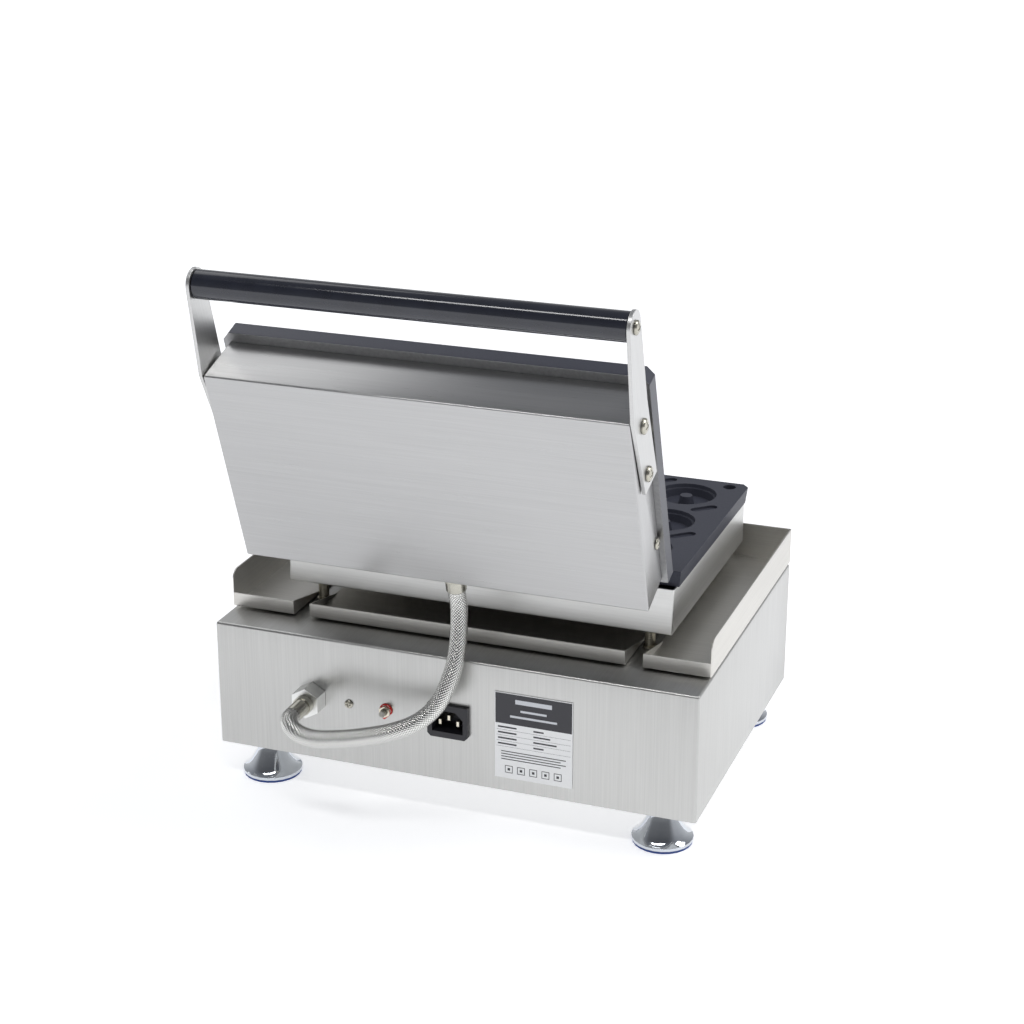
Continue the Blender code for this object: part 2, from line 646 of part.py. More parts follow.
def drip_tray():
    frame = pivot("drip_tray_slide", (0, rear(TRAY_SETBACK), BASE_TOP + TRAY_LIFT))
    depth = BASE_DEPTH - TRAY_SETBACK
    outline = rectangle(-HALF_WIDTH, HALF_WIDTH, -depth, 0)
    sections = [(TRAY_WALL, outline), (0, outline)]
    tray = loft("drip_tray", sections, 2, BRUSHED_STEEL, frame, bend=TRAY_SHEET)
    inside = HALF_WIDTH - TRAY_SHEET
    low = (-inside, TRAY_SHEET - depth, TRAY_SHEET)
    high = (inside, -TRAY_SHEET, TRAY_WALL + OVERCUT)
    cut(tray, block("cutter_tray_inside", low, high, MATT_BLACK, frame))
    low = (-inside, -2 * TRAY_SHEET, TRAY_LIP)
    high = (inside, OVERCUT, TRAY_WALL + OVERCUT)
    cut(tray, block("cutter_tray_rear", low, high, MATT_BLACK, frame))
    radius = TRAY_CORNER_RADIUS
    corner = arc((-radius, TRAY_WALL - radius), radius, 0, math.pi / 2, 5)
    corner += [(-radius, TRAY_WALL + OVERCUT), (OVERCUT, TRAY_WALL + OVERCUT), (OVERCUT, TRAY_WALL - radius)]
    reach = HALF_WIDTH + OVERCUT
    cut(tray, prism("cutter_tray_corner", corner, 0, -reach, reach, MATT_BLACK, frame))
    near, far = slot_edges()
    slot_front = TRAY_SETBACK - POST_FRONT - POST_FLANGE_RADIUS - SLOT_CLEARANCE
    for hand, side in (("left", -1), ("right", 1)):
        tray_gusset(tray, f"{hand}_inner", side * near, frame)
        tray_gusset(tray, f"{hand}_outer", side * far, frame)
    for hand, side in (("left", -1), ("right", 1)):
        edges = sorted((side * near, side * far))
        low = (edges[0], slot_front, -OVERCUT)
        high = (edges[1], OVERCUT, TRAY_LIP + OVERCUT)
        cut(tray, block(f"cutter_tray_slot_{hand}", low, high, MATT_BLACK, frame))
    boss = cylinder(BOSS_RADIUS, FIT - TRAY_LIFT, TRAY_SHEET / 2)
    for column, x in enumerate((-BOSS_SIDE, 0, BOSS_SIDE)):
        for row, y in enumerate((-BOSS_INSET, BOSS_INSET - depth)):
            fuse(tray, turned(f"boss_{column}_{row}", boss, BRUSHED_STEEL, (x, y, 0), parent=frame))


# Cooking unit


def posts():
    height = POST_HEIGHT - 2 * FIT
    profile = [(0, 0), (POST_FLANGE_RADIUS, 0), (POST_FLANGE_RADIUS, POST_FLANGE)]
    profile += [(POST_RADIUS, POST_FLANGE), (POST_RADIUS, height), (0, height)]
    for end, distance in (("rear", POST_REAR), ("front", POST_FRONT)):
        for hand, side in (("left", -1), ("right", 1)):
            at = (side * POST_SIDE, rear(distance), BASE_TOP + FIT)
            turned(f"post_{end}_{hand}", profile, POLISHED_STEEL, at)


def lower_box():
    """An open pan whose rear wall leans forward and is notched for the hinge knuckles."""
    half = BOX_HALF_WIDTH
    back = rear(BOX_REAR)
    front = rear(BOX_FRONT)
    top = rectangle(-half, half, front, back - BOX_REAR_LEAN)
    bottom = rectangle(-half, half, front, back)
    sections = [(BOX_TOP, top), (BOX_BOTTOM, bottom)]
    body = loft("lower_box", sections, 2, BRUSHED_STEEL, bend=BOX_SHEET)
    lean = BOX_REAR_LEAN / BOX_HEIGHT
    inner_half = half - BOX_SHEET
    inner_front = front + BOX_SHEET
    inner_back = back - BOX_SHEET
    top_back = inner_back - lean * (BOX_HEIGHT + OVERCUT)
    top = rectangle(-inner_half, inner_half, inner_front, top_back)
    bottom = rectangle(-inner_half, inner_half, inner_front, inner_back - lean * BOX_SHEET)
    sections = [(BOX_TOP + OVERCUT, top), (BOX_BOTTOM + BOX_SHEET, bottom)]
    cut(body, loft("cutter_lower_box_inside", sections, 2, MATT_BLACK))
    notch_floor = HINGE_Z - KNUCKLE_RADIUS - NOTCH_CLEARANCE
    inner = KNUCKLE_SIDE - KNUCKLE_WIDTH - NOTCH_CLEARANCE
    outer = KNUCKLE_SIDE + FIT + KNUCKLE_WIDTH + PIN_HEAD + NOTCH_CLEARANCE
    for hand, side in (("left", -1), ("right", 1)):
        edges = sorted((side * inner, side * outer))
        low = (edges[0], back - BOX_REAR_LEAN - 3 * BOX_SHEET, notch_floor)
        high = (edges[1], back + OVERCUT, BOX_TOP + OVERCUT)
        cut(body, block(f"cutter_hinge_notch_{hand}", low, high, MATT_BLACK))


def well_profile(face, side):
    """A ring well sunk into a plate's face; side is +1 for a face that looks up and -1 for down."""
    depths = (
        (0, -OVERCUT),
        (WELL_RADIUS, -OVERCUT),
        (WELL_RADIUS, 0),
        (WELL_RADIUS - WELL_STEP_FLARE, WELL_STEP_DEPTH),
        (WELL_STEP_RADIUS, WELL_STEP_DEPTH),
        (WELL_FLOOR_RADIUS, WELL_DEPTH),
        (WELL_PIN_FOOT, WELL_DEPTH),
        (WELL_PIN_RADIUS, WELL_PIN_SINK),
        (0, WELL_PIN_SINK),
    )
    return [(radius, face - side * depth) for radius, depth in depths]


def well_centres():
    """Well centres in the hinge's frame, where Y is minus the distance forward."""
    columns = [(i - (WELL_COLUMNS - 1) / 2) * WELL_COLUMN_PITCH for i in range(WELL_COLUMNS)]
    rows = [-(FIRST_WELL_ROW + i * WELL_ROW_PITCH) for i in range(WELL_ROWS)]
    return [(x, y) for y in rows for x in columns]


def groove_outline(x, y, angle):
    """A round-ended slot lying at an angle."""
    half = (GROOVE_LENGTH - GROOVE_WIDTH) / 2
    dx = half * math.cos(angle)
    dy = half * math.sin(angle)
    start = angle - math.pi / 2
    first = arc((x + dx, y + dy), GROOVE_WIDTH / 2, start, start + math.pi, 4)
    second = arc((x - dx, y - dy), GROOVE_WIDTH / 2, start + math.pi, start + 2 * math.pi, 4)
    return first + second


def groove_places():
    """Overflow grooves: beside the outer wells, and ahead of the front row between columns."""
    places = []
    for side in (-1, 1):
        angle = math.pi / 2 + side * (math.pi / 2 - GROOVE_ANGLE)
        for gap in range(WELL_ROWS - 1):
            y = -(FIRST_WELL_ROW + (gap + 0.5) * WELL_ROW_PITCH) - FRONT_GROOVE_OFFSET
            places.append((side * SIDE_GROOVE_X, y, angle))
        for gap in range(WELL_COLUMNS // 2):
            x = side * ((gap + 0.5) * WELL_COLUMN_PITCH + FRONT_GROOVE_OFFSET)
            places.append((x, FRONT_GROOVE_EDGE - LOWER_PLATE_FRONT, angle))
    return places


def sink_wells(plate, face, side, frame):
    """Cut the wells, the corner holes and the overflow grooves into one face of a plate."""
    bm = bmesh.new()
    for centre in well_centres():
        add_turned(bm, well_profile(face, side), centre, WELL_STEPS)
    cut(plate, from_bmesh(f"cutter_{plate.name}_wells", bm, MATT_BLACK, frame))
    levels = sorted((face - side * GROOVE_DEPTH, face + side * OVERCUT))
    bm = bmesh.new()
    for x, y, angle in groove_places():
        outline = groove_outline(x, y, angle)
        add_loft(bm, [(level, outline) for level in levels], 2)
    cut(plate, from_bmesh(f"cutter_{plate.name}_grooves", bm, MATT_BLACK, frame))
    for hand, x in (("left", -CORNER_HOLE_SIDE), ("right", CORNER_HOLE_SIDE)):
        at = (x, -CORNER_HOLE_FRONT, face)
        drill(plate, f"corner_{hand}", CORNER_HOLE_RADIUS, at, (0, 0, side), CORNER_HOLE_DEPTH)


def chamfered_front(half, back, front):
    """The two front corners of a plate outline, from +X to -X."""
    side = CORNER_CHAMFER_SIDE
    end = CORNER_CHAMFER_FRONT
    right = [(half, -back), (half, side - front), (half - end, -front)]
    return right + [(end - half, -front), (-half, side - front)]


def lower_lug_outline():
    """Hinge lug of the lower plate, as (forward is minus, height) about the axis."""
    back = arc((0, 0), KNUCKLE_RADIUS, -math.pi / 2, math.pi / 2, 8)
    front = -(LOWER_PLATE_REAR + PLATE_DRAFT + LUG_BITE)
    low = PLATE_FACE - LOWER_PLATE_THICKNESS + FIT
    return back + [(front, KNUCKLE_RADIUS), (front, low), (-KNUCKLE_RADIUS / 2, low - FIT)]


def upper_lug_outline():
    """Hinge lug of the upper plate, which stays behind the lower plate's rear edge."""
    low = arc((0, 0), KNUCKLE_RADIUS, -math.pi, 0, 8)
    front = -(UPPER_PLATE_REAR + LUG_BITE)
    root = UPPER_FACE + FIT
    crest = UPPER_FACE + UPPER_PLATE_THICKNESS - FIT
    high = [(KNUCKLE_RADIUS, crest / 2), (0, crest), (front, crest)]
    return low + high + [(front, root), (-KNUCKLE_RADIUS, root)]


def add_lugs(plate, outline, near, frame):
    """Two lugs, one on each side, fused to a plate and bored for the pins."""
    for hand, side in (("left", -1), ("right", 1)):
        ends = sorted((side * near, side * (near + KNUCKLE_WIDTH)))
        name = f"lug_{plate.name}_{hand}"
        fuse(plate, prism(name, outline, 0, *ends, COATED_IRON, frame))
        bore = cylinder(PIN_RADIUS + FIT, ends[0] - OVERCUT, ends[1] + OVERCUT)
        tool = turned(f"cutter_{name}", bore, MATT_BLACK, along=(1, 0, 0), parent=frame)
        cut(plate, tool)


def lower_plate(frame):
    top = chamfered_front(PLATE_HALF_WIDTH, LOWER_PLATE_REAR, LOWER_PLATE_FRONT)
    top.append((-PLATE_HALF_WIDTH, -LOWER_PLATE_REAR))
    half = PLATE_HALF_WIDTH - PLATE_DRAFT
    back = LOWER_PLATE_REAR + PLATE_DRAFT
    bottom = chamfered_front(half, back, LOWER_PLATE_FRONT - PLATE_DRAFT)
    bottom.append((-half, -back))
    sections = [(PLATE_FACE - LOWER_PLATE_THICKNESS, bottom), (PLATE_FACE, top)]
    plate = loft("lower_plate", sections, 2, COATED_IRON, frame)
    add_lugs(plate, lower_lug_outline(), KNUCKLE_SIDE - KNUCKLE_WIDTH, frame)
    sink_wells(plate, PLATE_FACE, 1, frame)


def upper_plate(frame):
    """The mirror of the lower plate, with its rear corners cut back."""
    half = PLATE_HALF_WIDTH
    inner = half - UPPER_NOTCH_WIDTH
    notch = UPPER_PLATE_REAR + UPPER_NOTCH_DEPTH
    outline = chamfered_front(half, notch, UPPER_PLATE_FRONT)
    outline += [(-half, -notch), (-inner, -notch), (-inner, -UPPER_PLATE_REAR)]
    outline += [(inner, -UPPER_PLATE_REAR), (inner, -notch)]
    back = UPPER_FACE + UPPER_PLATE_THICKNESS
    plate = prism("upper_plate", outline, 2, UPPER_FACE, back, COATED_IRON, frame)
    add_lugs(plate, upper_lug_outline(), KNUCKLE_SIDE + FIT, frame)
    sink_wells(plate, UPPER_FACE, -1, frame)


def hinge_pins():
    inner = KNUCKLE_SIDE - KNUCKLE_WIDTH
    head = KNUCKLE_SIDE + FIT + KNUCKLE_WIDTH + FIT
    profile = [(0, inner), (PIN_RADIUS, inner), (PIN_RADIUS, head), (PIN_HEAD_RADIUS, head)]
    profile += [(PIN_HEAD_RADIUS, head + PIN_HEAD), (0, head + PIN_HEAD)]
    for hand, side in (("left", -1), ("right", 1)):
        turned(f"hinge_pin_{hand}", profile, POLISHED_STEEL, (0, HINGE_Y, HINGE_Z), (side, 0, 0))


def heater_path():
    """A flat serpentine of straight runs joined by half turns."""
    radius = HEATER_PITCH / 2
    path = []
    for run in range(HEATER_RUNS):
        y = -(HEATER_MIDDLE + (run - (HEATER_RUNS - 1) / 2) * HEATER_PITCH)
        side = 1 if run % 2 == 0 else -1
        path.append((-side * HEATER_HALF_LENGTH, y))
        if run == HEATER_RUNS - 1:
            path.append((side * HEATER_HALF_LENGTH, y))
            break
        sweep = -side * math.pi
        centre = (side * HEATER_HALF_LENGTH, y - radius)
        turn = arc(centre, radius, math.pi / 2, math.pi / 2 + sweep, TURN_STEPS)
        path += turn[:-1]
    return path


def tube(name, points, radius, finish, parent=None, resolution=2):
    """A round tube with filled ends along a list of points."""
    curve = bpy.data.curves.new(name, "CURVE")
    curve.dimensions = "3D"
    curve.bevel_depth = radius
    curve.bevel_resolution = resolution
    curve.use_fill_caps = True
    spline = curve.splines.new("POLY")
    spline.points.add(len(points) - 1)
    for point, place_at in zip(spline.points, points):
        point.co = (*place_at, 1)
    spline.use_smooth = True
    return place(name, curve, finish, parent)


def heater(name, height, frame):
    tube(name, [(x, y, height) for x, y in heater_path()], HEATER_RADIUS, HEATING_STEEL, frame)


# Lid, in the hinge's frame with the lid shut: Y is minus the distance forward


def lid_wall(height):
    """Rear, front and half width of the lid box at a height above the hinge axis."""
    share = (height - LID_MOUTH) / (LID_PANEL_HEIGHT - LID_MOUTH)
    back = LID_MOUTH_REAR + share * (LID_PANEL_REAR - LID_MOUTH_REAR)
    front = LID_MOUTH_FRONT + share * (LID_PANEL_FRONT - LID_MOUTH_FRONT)
    half = LID_MOUTH_HALF_WIDTH + share * (LID_PANEL_HALF_WIDTH - LID_MOUTH_HALF_WIDTH)
    return back, front, half


def lid_section(height, inset):
    back, front, half = lid_wall(height)
    return rectangle(inset - half, half - inset, inset - front, -inset - back)


def lid_hose_exit():
    """The point and the outward direction of the hose hole in the lid's rear wall."""
    back = lid_wall(LID_HOSE_HEIGHT)[0]
    lean = (LID_PANEL_REAR - LID_MOUTH_REAR) / (LID_PANEL_HEIGHT - LID_MOUTH)
    return Vector((LID_HOSE_X, -back, LID_HOSE_HEIGHT)), Vector((0, 1, lean)).normalized()


def upper_box(lid):
    sections = [(LID_MOUTH, lid_section(LID_MOUTH, 0)), (LID_PANEL_HEIGHT, lid_section(LID_PANEL_HEIGHT, 0))]
    body = loft("upper_box", sections, 2, BRUSHED_STEEL, lid, bend=LID_BEND_RADIUS)
    low = LID_MOUTH - OVERCUT
    high = LID_PANEL_HEIGHT - LID_SHEET
    sections = [(low, lid_section(low, LID_SHEET)), (high, lid_section(high, LID_SHEET))]
    cut(body, loft("cutter_upper_box_inside", sections, 2, MATT_BLACK, lid))
    at, along = lid_hose_exit()
    drill(body, "hose", HOSE_THREAD_RADIUS + HOLE_CLEARANCE, at, along, OVERCUT)
    for hand, side in (("left", -1), ("right", 1)):
        for number, reach in enumerate(ARM_SCREW_REACHES + SIDE_SCREW_REACHES):
            height = ARM_SCREW_HEIGHT if reach in ARM_SCREW_REACHES else SIDE_SCREW_HEIGHT
            at = (side * lid_wall(height)[2], -reach, height)
            drill(body, f"screw_{hand}_{number}", SCREW_SHANK + HOLE_CLEARANCE, at, (side, 0, 0), OVERCUT)


def arm_outline():
    """A flat arm, square at its tail and round about the handle's axis."""
    end = arc((-HANDLE_REACH, HANDLE_HEIGHT), ARM_END_RADIUS, math.radians(275), math.radians(100), 12)
    shoulder = -LID_PANEL_FRONT
    tail = -ARM_TAIL
    return (
        [(tail, ARM_TAIL_HIGH), (tail, ARM_TAIL_LOW), (shoulder, ARM_SHOULDER_LOW)]
        + end
        + [(shoulder, LID_PANEL_HEIGHT)]
    )


def arms(lid):
    for hand, side in (("left", -1), ("right", 1)):
        ends = sorted((side * ARM_SIDE, side * (ARM_SIDE + ARM_THICKNESS)))
        arm = prism(f"arm_{hand}", arm_outline(), 0, *ends, BRUSHED_STEEL, lid)
        face = side * (ARM_SIDE + ARM_THICKNESS)
        places = [(reach, ARM_SCREW_HEIGHT) for reach in ARM_SCREW_REACHES]
        places.append((HANDLE_REACH, HANDLE_HEIGHT))
        for number, (reach, height) in enumerate(places):
            at = (face, -reach, height)
            depth = ARM_THICKNESS + OVERCUT
            drill(arm, f"hole_{number}", SCREW_SHANK + HOLE_CLEARANCE, at, (side, 0, 0), depth)


def lid_screws(lid):
    face = ARM_SIDE + ARM_THICKNESS
    for hand, side in (("left", -1), ("right", 1)):
        out = (side, 0, 0)
        for end, reach in zip(("rear", "front"), ARM_SCREW_REACHES):
            at = (side * face, -reach, ARM_SCREW_HEIGHT)
            sizes = (ARM_SCREW_HEAD, ARM_SCREW_DOME, ARM_SCREW_LENGTH)
            pan_screw(f"arm_screw_{end}_{hand}", at, out, *sizes, POLISHED_STEEL, lid)
        wall = lid_wall(SIDE_SCREW_HEIGHT + SIDE_SCREW_HEAD)[2]
        for end, reach in zip(("rear", "front"), SIDE_SCREW_REACHES):
            at = (side * wall, -reach, SIDE_SCREW_HEIGHT)
            sizes = (SIDE_SCREW_HEAD, SIDE_SCREW_DOME, SIDE_SCREW_LENGTH)
            pan_screw(f"box_screw_{end}_{hand}", at, out, *sizes, POLISHED_STEEL, lid)
        at = (side * face, -HANDLE_REACH, HANDLE_HEIGHT)
        sizes = (HANDLE_SCREW_HEAD, HANDLE_SCREW_DOME, HANDLE_SCREW_LENGTH)
        pan_screw(f"handle_screw_{hand}", at, out, *sizes, POLISHED_STEEL, lid)


def handle_grip(lid):
    half = ARM_SIDE - FIT
    profile = [(GRIP_BORE, -half), (GRIP_RADIUS - GRIP_EDGE, -half), (GRIP_RADIUS, GRIP_EDGE - half)]
    profile += [(GRIP_RADIUS, half - GRIP_EDGE), (GRIP_RADIUS - GRIP_EDGE, half), (GRIP_BORE, half)]
    at = (0, -HANDLE_REACH, HANDLE_HEIGHT)
    turned("handle_grip", profile, GLOSS_BLACK, at, (1, 0, 0), lid, ROUND_STEPS)


# Rear wall fittings


def power_inlet():
    z = FOOT_HEIGHT + INLET_HEIGHT
    half = INLET_BEZEL_WIDTH / 2
    low = z - INLET_BEZEL_HEIGHT / 2
    high = z + INLET_BEZEL_HEIGHT / 2
    corner = INLET_BEZEL_CHAMFER
    bezel = [(-half, high), (-half, low + corner), (corner - half, low)]
    bezel += [(half - corner, low), (half, low + corner), (half, high)]
    inlet = prism("power_inlet", bezel, 1, REAR_Y + FIT, REAR_Y + FIT + INLET_BEZEL, MATT_BLACK)
    half = INLET_BODY_WIDTH / 2
    low = (-half, REAR_Y - INLET_BODY_DEPTH, z - INLET_BODY_HEIGHT / 2)
    high = (half, REAR_Y + INLET_BEZEL / 2, z + INLET_BODY_HEIGHT / 2)
    fuse(inlet, block("inlet_body", low, high, MATT_BLACK))
    half = INLET_CAVITY_WIDTH / 2
    low = z - INLET_CAVITY_HEIGHT / 2
    high = z + INLET_CAVITY_HEIGHT / 2
    corner = INLET_CAVITY_CHAMFER
    cavity = [(-half, low), (half, low), (half, high - corner), (half - corner, high)]
    cavity += [(corner - half, high), (-half, high - corner)]
    floor = REAR_Y + INLET_BEZEL - INLET_CAVITY_DEPTH
    cut(inlet, prism("cutter_inlet_cavity", cavity, 1, floor, REAR_Y + INLET_BEZEL + OVERCUT, MATT_BLACK))
    tip = REAR_Y + INLET_BEZEL - BLADE_SINK
    places = (("left", -BLADE_SPREAD, 0), ("earth", 0, EARTH_BLADE_RAISE), ("right", BLADE_SPREAD, 0))
    for label, x, raised in places:
        centre = z - EARTH_BLADE_RAISE / 2 + raised
        slack = (FIT, FIT, FIT)
        low = Vector((x - BLADE_WIDTH / 2, tip - BLADE_LENGTH, centre - BLADE_HEIGHT / 2))
        high = Vector((x + BLADE_WIDTH / 2, tip, centre + BLADE_HEIGHT / 2))
        hole = block(f"cutter_blade_{label}", low - Vector(slack), high + Vector(slack), MATT_BLACK)
        cut(inlet, hole)
        block(f"inlet_blade_{label}", low, high, BRASS)


def hexagon(radius):
    """A hexagon with a corner straight up, by its corner radius."""
    return arc((0, 0), radius, math.pi / 2, math.pi / 2 + 2 * math.pi, 6)[:-1]


def hex_nut(name, x, z, start, thickness, radius, bore, finish):
    """A nut on the rear wall, from a distance behind it."""
    outline = [(x + a, z + b) for a, b in hexagon(radius)]
    nut = prism(name, outline, 1, REAR_Y + start, REAR_Y + start + thickness, finish)
    at = (x, REAR_Y + start + thickness, z)
    drill(nut, "bore", bore, at, (0, 1, 0), thickness + OVERCUT)


def earth_point():
    """The equipotential earth stud with its tag and nut."""
    z = FOOT_HEIGHT + INLET_HEIGHT
    stud = cylinder(EARTH_STUD_RADIUS, -EARTH_STUD_IN, EARTH_STUD_OUT)
    turned("earth_stud", stud, POLISHED_STEEL, (EARTH_X, REAR_Y, z), (0, 1, 0))
    low = (EARTH_X - EARTH_TAG_WIDTH / 2, REAR_Y + FIT, z - EARTH_TAG_LENGTH + EARTH_TAG_WIDTH / 2)
    high = (EARTH_X + EARTH_TAG_WIDTH / 2, REAR_Y + FIT + EARTH_TAG_THICKNESS, z + EARTH_TAG_WIDTH / 2)
    tag = block("earth_tag", low, high, RED_TAG)
    bore = EARTH_STUD_RADIUS + FIT
    drill(tag, "bore", bore, (EARTH_X, high[1], z), (0, 1, 0), OVERCUT)
    start = 2 * FIT + EARTH_TAG_THICKNESS
    hex_nut("earth_nut", EARTH_X, z, start, EARTH_NUT_THICKNESS, EARTH_NUT_RADIUS, bore, BRASS)


def rear_screw():
    at = (REAR_SCREW_X, REAR_Y, FOOT_HEIGHT + INLET_HEIGHT)
    sizes = (REAR_SCREW_HEAD, REAR_SCREW_DOME, REAR_SCREW_LENGTH)
    pan_screw("rear_screw", at, (0, 1, 0), *sizes, POLISHED_STEEL)


def rating_plate():
    low = (-RATING_PLATE_FAR, REAR_Y + FIT, FOOT_HEIGHT + RATING_PLATE_LOW)
    high = (-RATING_PLATE_NEAR, REAR_Y + FIT + RATING_PLATE_THICKNESS, FOOT_HEIGHT + RATING_PLATE_HIGH)
    block("rating_plate", low, high, LABEL)


# Hose


def hose_fittings(lid):
    z = FOOT_HEIGHT + HOSE_HEIGHT
    corner = HOSE_NUT_FLATS / math.sqrt(3)
    bore = HOSE_THREAD_RADIUS + HOLE_CLEARANCE
    hex_nut("hose_nut", HOSE_X, z, FIT, HOSE_NUT_THICKNESS, corner, bore, CHROME)
    start = FIT + HOSE_NUT_THICKNESS + FIT
    profile = [(0, -HOSE_THREAD_IN), (HOSE_THREAD_RADIUS, -HOSE_THREAD_IN), (HOSE_THREAD_RADIUS, start)]
    profile += [(COLLAR_TUBE_RADIUS, start), (COLLAR_TUBE_RADIUS, COLLAR_TUBE_END)]
    ribs = round((FERRULE_END - COLLAR_TUBE_END) / RIB_PITCH)
    for rib in range(ribs):
        along = COLLAR_TUBE_END + rib * (FERRULE_END - COLLAR_TUBE_END) / ribs
        profile.append((FERRULE_RADIUS, along))
        profile.append((FERRULE_RADIUS + RIB_DEPTH, along + RIB_PITCH / 2))
    profile += [(FERRULE_RADIUS, FERRULE_END), (0, FERRULE_END)]
    turned("hose_ferrule", profile, BRUSHED_STEEL, (HOSE_X, REAR_Y, z), (0, 1, 0))
    at, along = lid_hose_exit()
    inside = LID_SHEET + HOSE_THREAD_IN
    profile = [(0, -inside), (HOSE_THREAD_RADIUS, -inside), (HOSE_THREAD_RADIUS, FIT)]
    profile.append((LID_RING_RADIUS, FIT))
    profile += [(LID_RING_RADIUS, LID_RING), (LID_FERRULE_RADIUS, LID_RING)]
    profile += [(LID_FERRULE_RADIUS, LID_FERRULE_END), (0, LID_FERRULE_END)]
    turned("lid_hose_ferrule", profile, CHROME, at, along, lid, ROUND_STEPS)


def smooth_path(knots, start_along, end_along, spacing):
    """Points about evenly spaced on a cubic through the knots, leaving and arriving along directions."""
    points = np.array([tuple(knot) for knot in knots])
    gaps = np.linalg.norm(np.diff(points, axis=0), axis=1)
    slopes = np.diff(points, axis=0) / gaps[:, None]
    tangents = np.empty_like(points)
    weights = gaps[:-1, None] + gaps[1:, None]
    tangents[1:-1] = (slopes[:-1] * gaps[1:, None] + slopes[1:] * gaps[:-1, None]) / weights
    tangents[0] = start_along
    tangents[-1] = end_along
    fine = []
    for i, gap in enumerate(gaps):
        for t in np.linspace(0, 1, 20, endpoint=False):
            fine.append(
                (1 + 2 * t) * (1 - t) ** 2 * points[i]
                + t * (1 - t) ** 2 * gap * tangents[i]
                + t**2 * (3 - 2 * t) * points[i + 1]
                + t**2 * (t - 1) * gap * tangents[i + 1]
            )
    fine = np.array([*fine, points[-1]])
    run = np.concatenate([[0], np.cumsum(np.linalg.norm(np.diff(fine, axis=0), axis=1))])
    count = max(2, round(run[-1] / spacing))
    wanted = np.linspace(0, run[-1], count + 1)
    return [tuple(np.interp(w, run, fine[:, k]) for k in range(3)) for w in wanted]


def hose(lid_matrix):
    """The braided hose from the base fitting round behind the machine and up into the lid."""
    out = Vector((0, 1, 0))
    start = Vector((HOSE_X, REAR_Y + FERRULE_END + FIT, FOOT_HEIGHT + HOSE_HEIGHT))
    exit_at, exit_along = lid_hose_exit()
    end = lid_matrix @ (exit_at + (LID_FERRULE_END + FIT) * exit_along)
    into_lid = -(lid_matrix.to_3x3() @ exit_along)
    route = [Vector((x, REAR_Y + y, FOOT_HEIGHT + z)) for x, y, z in HOSE_ROUTE]
    straight = (start + HOSE_STRAIGHT * out, end - HOSE_STRAIGHT * into_lid)
    path = smooth_path([straight[0], *route, straight[1]], out, into_lid, HOSE_DIAMETER)
    tube("hose", [tuple(start), *path, tuple(end)], HOSE_DIAMETER / 2, BRAID)


# Front controls


def control_body(name, x, depth):
    """A round control behind the front wall, with its bushing and shaft through it."""
    back = -BASE_SHEET - FIT
    profile = [(0, back - depth), (CONTROL_BODY_RADIUS, back - depth), (CONTROL_BODY_RADIUS, back)]
    profile += [(BUSHING_RADIUS, back), (BUSHING_RADIUS, 0), (SHAFT_RADIUS, 0)]
    profile += [(SHAFT_RADIUS, KNOB_BORE_DEPTH), (0, KNOB_BORE_DEPTH)]
    at = (x, FRONT_Y, FOOT_HEIGHT + CONTROL_HEIGHT)
    turned(name, profile, MATT_BLACK, at, (0, -1, 0), steps=ROUND_STEPS)


def knob(name, x):
    """A skirted knob with a pointer groove across its face, on its joint's axis."""
    bore = SHAFT_RADIUS + FIT
    profile = [(0, KNOB_PROJECTION), (KNOB_RADIUS - KNOB_EDGE, KNOB_PROJECTION)]
    profile += [(KNOB_RADIUS, KNOB_PROJECTION - KNOB_EDGE)]
    profile += [(KNOB_RADIUS, KNOB_SKIRT), (KNOB_SKIRT_RADIUS, KNOB_SKIRT), (KNOB_SKIRT_RADIUS, FIT)]
    profile += [(bore, FIT), (bore, FIT + KNOB_BORE_DEPTH), (0, FIT + KNOB_BORE_DEPTH)]
    at = (x, FRONT_Y, FOOT_HEIGHT + CONTROL_HEIGHT)
    body = turned(name, profile, GLOSS_BLACK, at, (0, -1, 0), steps=ROUND_STEPS)
    face = FRONT_Y - KNOB_PROJECTION
    low = (x - POINTER_WIDTH / 2, face - OVERCUT, at[2] + KNOB_RADIUS / 3)
    high = (x + POINTER_WIDTH / 2, face + POINTER_DEPTH, at[2] + KNOB_RADIUS + OVERCUT)
    cut(body, block(f"cutter_{name}_pointer", low, high, MATT_BLACK))


def switch_frame():
    z = FOOT_HEIGHT + CONTROL_HEIGHT
    half_x = SWITCH_BEZEL_WIDTH / 2
    half_z = SWITCH_BEZEL_HEIGHT / 2
    low = (SWITCH_X - half_x, FRONT_Y - FIT - SWITCH_BEZEL, z - half_z)
    high = (SWITCH_X + half_x, FRONT_Y - FIT, z + half_z)
    frame = block("switch_frame", low, high, MATT_BLACK)
    half_x = SWITCH_BODY_WIDTH / 2
    half_z = SWITCH_BODY_HEIGHT / 2
    low = (SWITCH_X - half_x, FRONT_Y - FIT - SWITCH_BEZEL / 2, z - half_z)
    high = (SWITCH_X + half_x, FRONT_Y + SWITCH_BODY_DEPTH, z + half_z)
    fuse(frame, block("switch_body", low, high, MATT_BLACK))
    half_x -= SWITCH_WALL
    half_z -= SWITCH_WALL
    low = (SWITCH_X - half_x, FRONT_Y - SWITCH_BEZEL - OVERCUT, z - half_z)
    high = (SWITCH_X + half_x, FRONT_Y + SWITCH_POCKET_DEPTH, z + half_z)
    cut(frame, block("cutter_switch_pocket", low, high, MATT_BLACK))


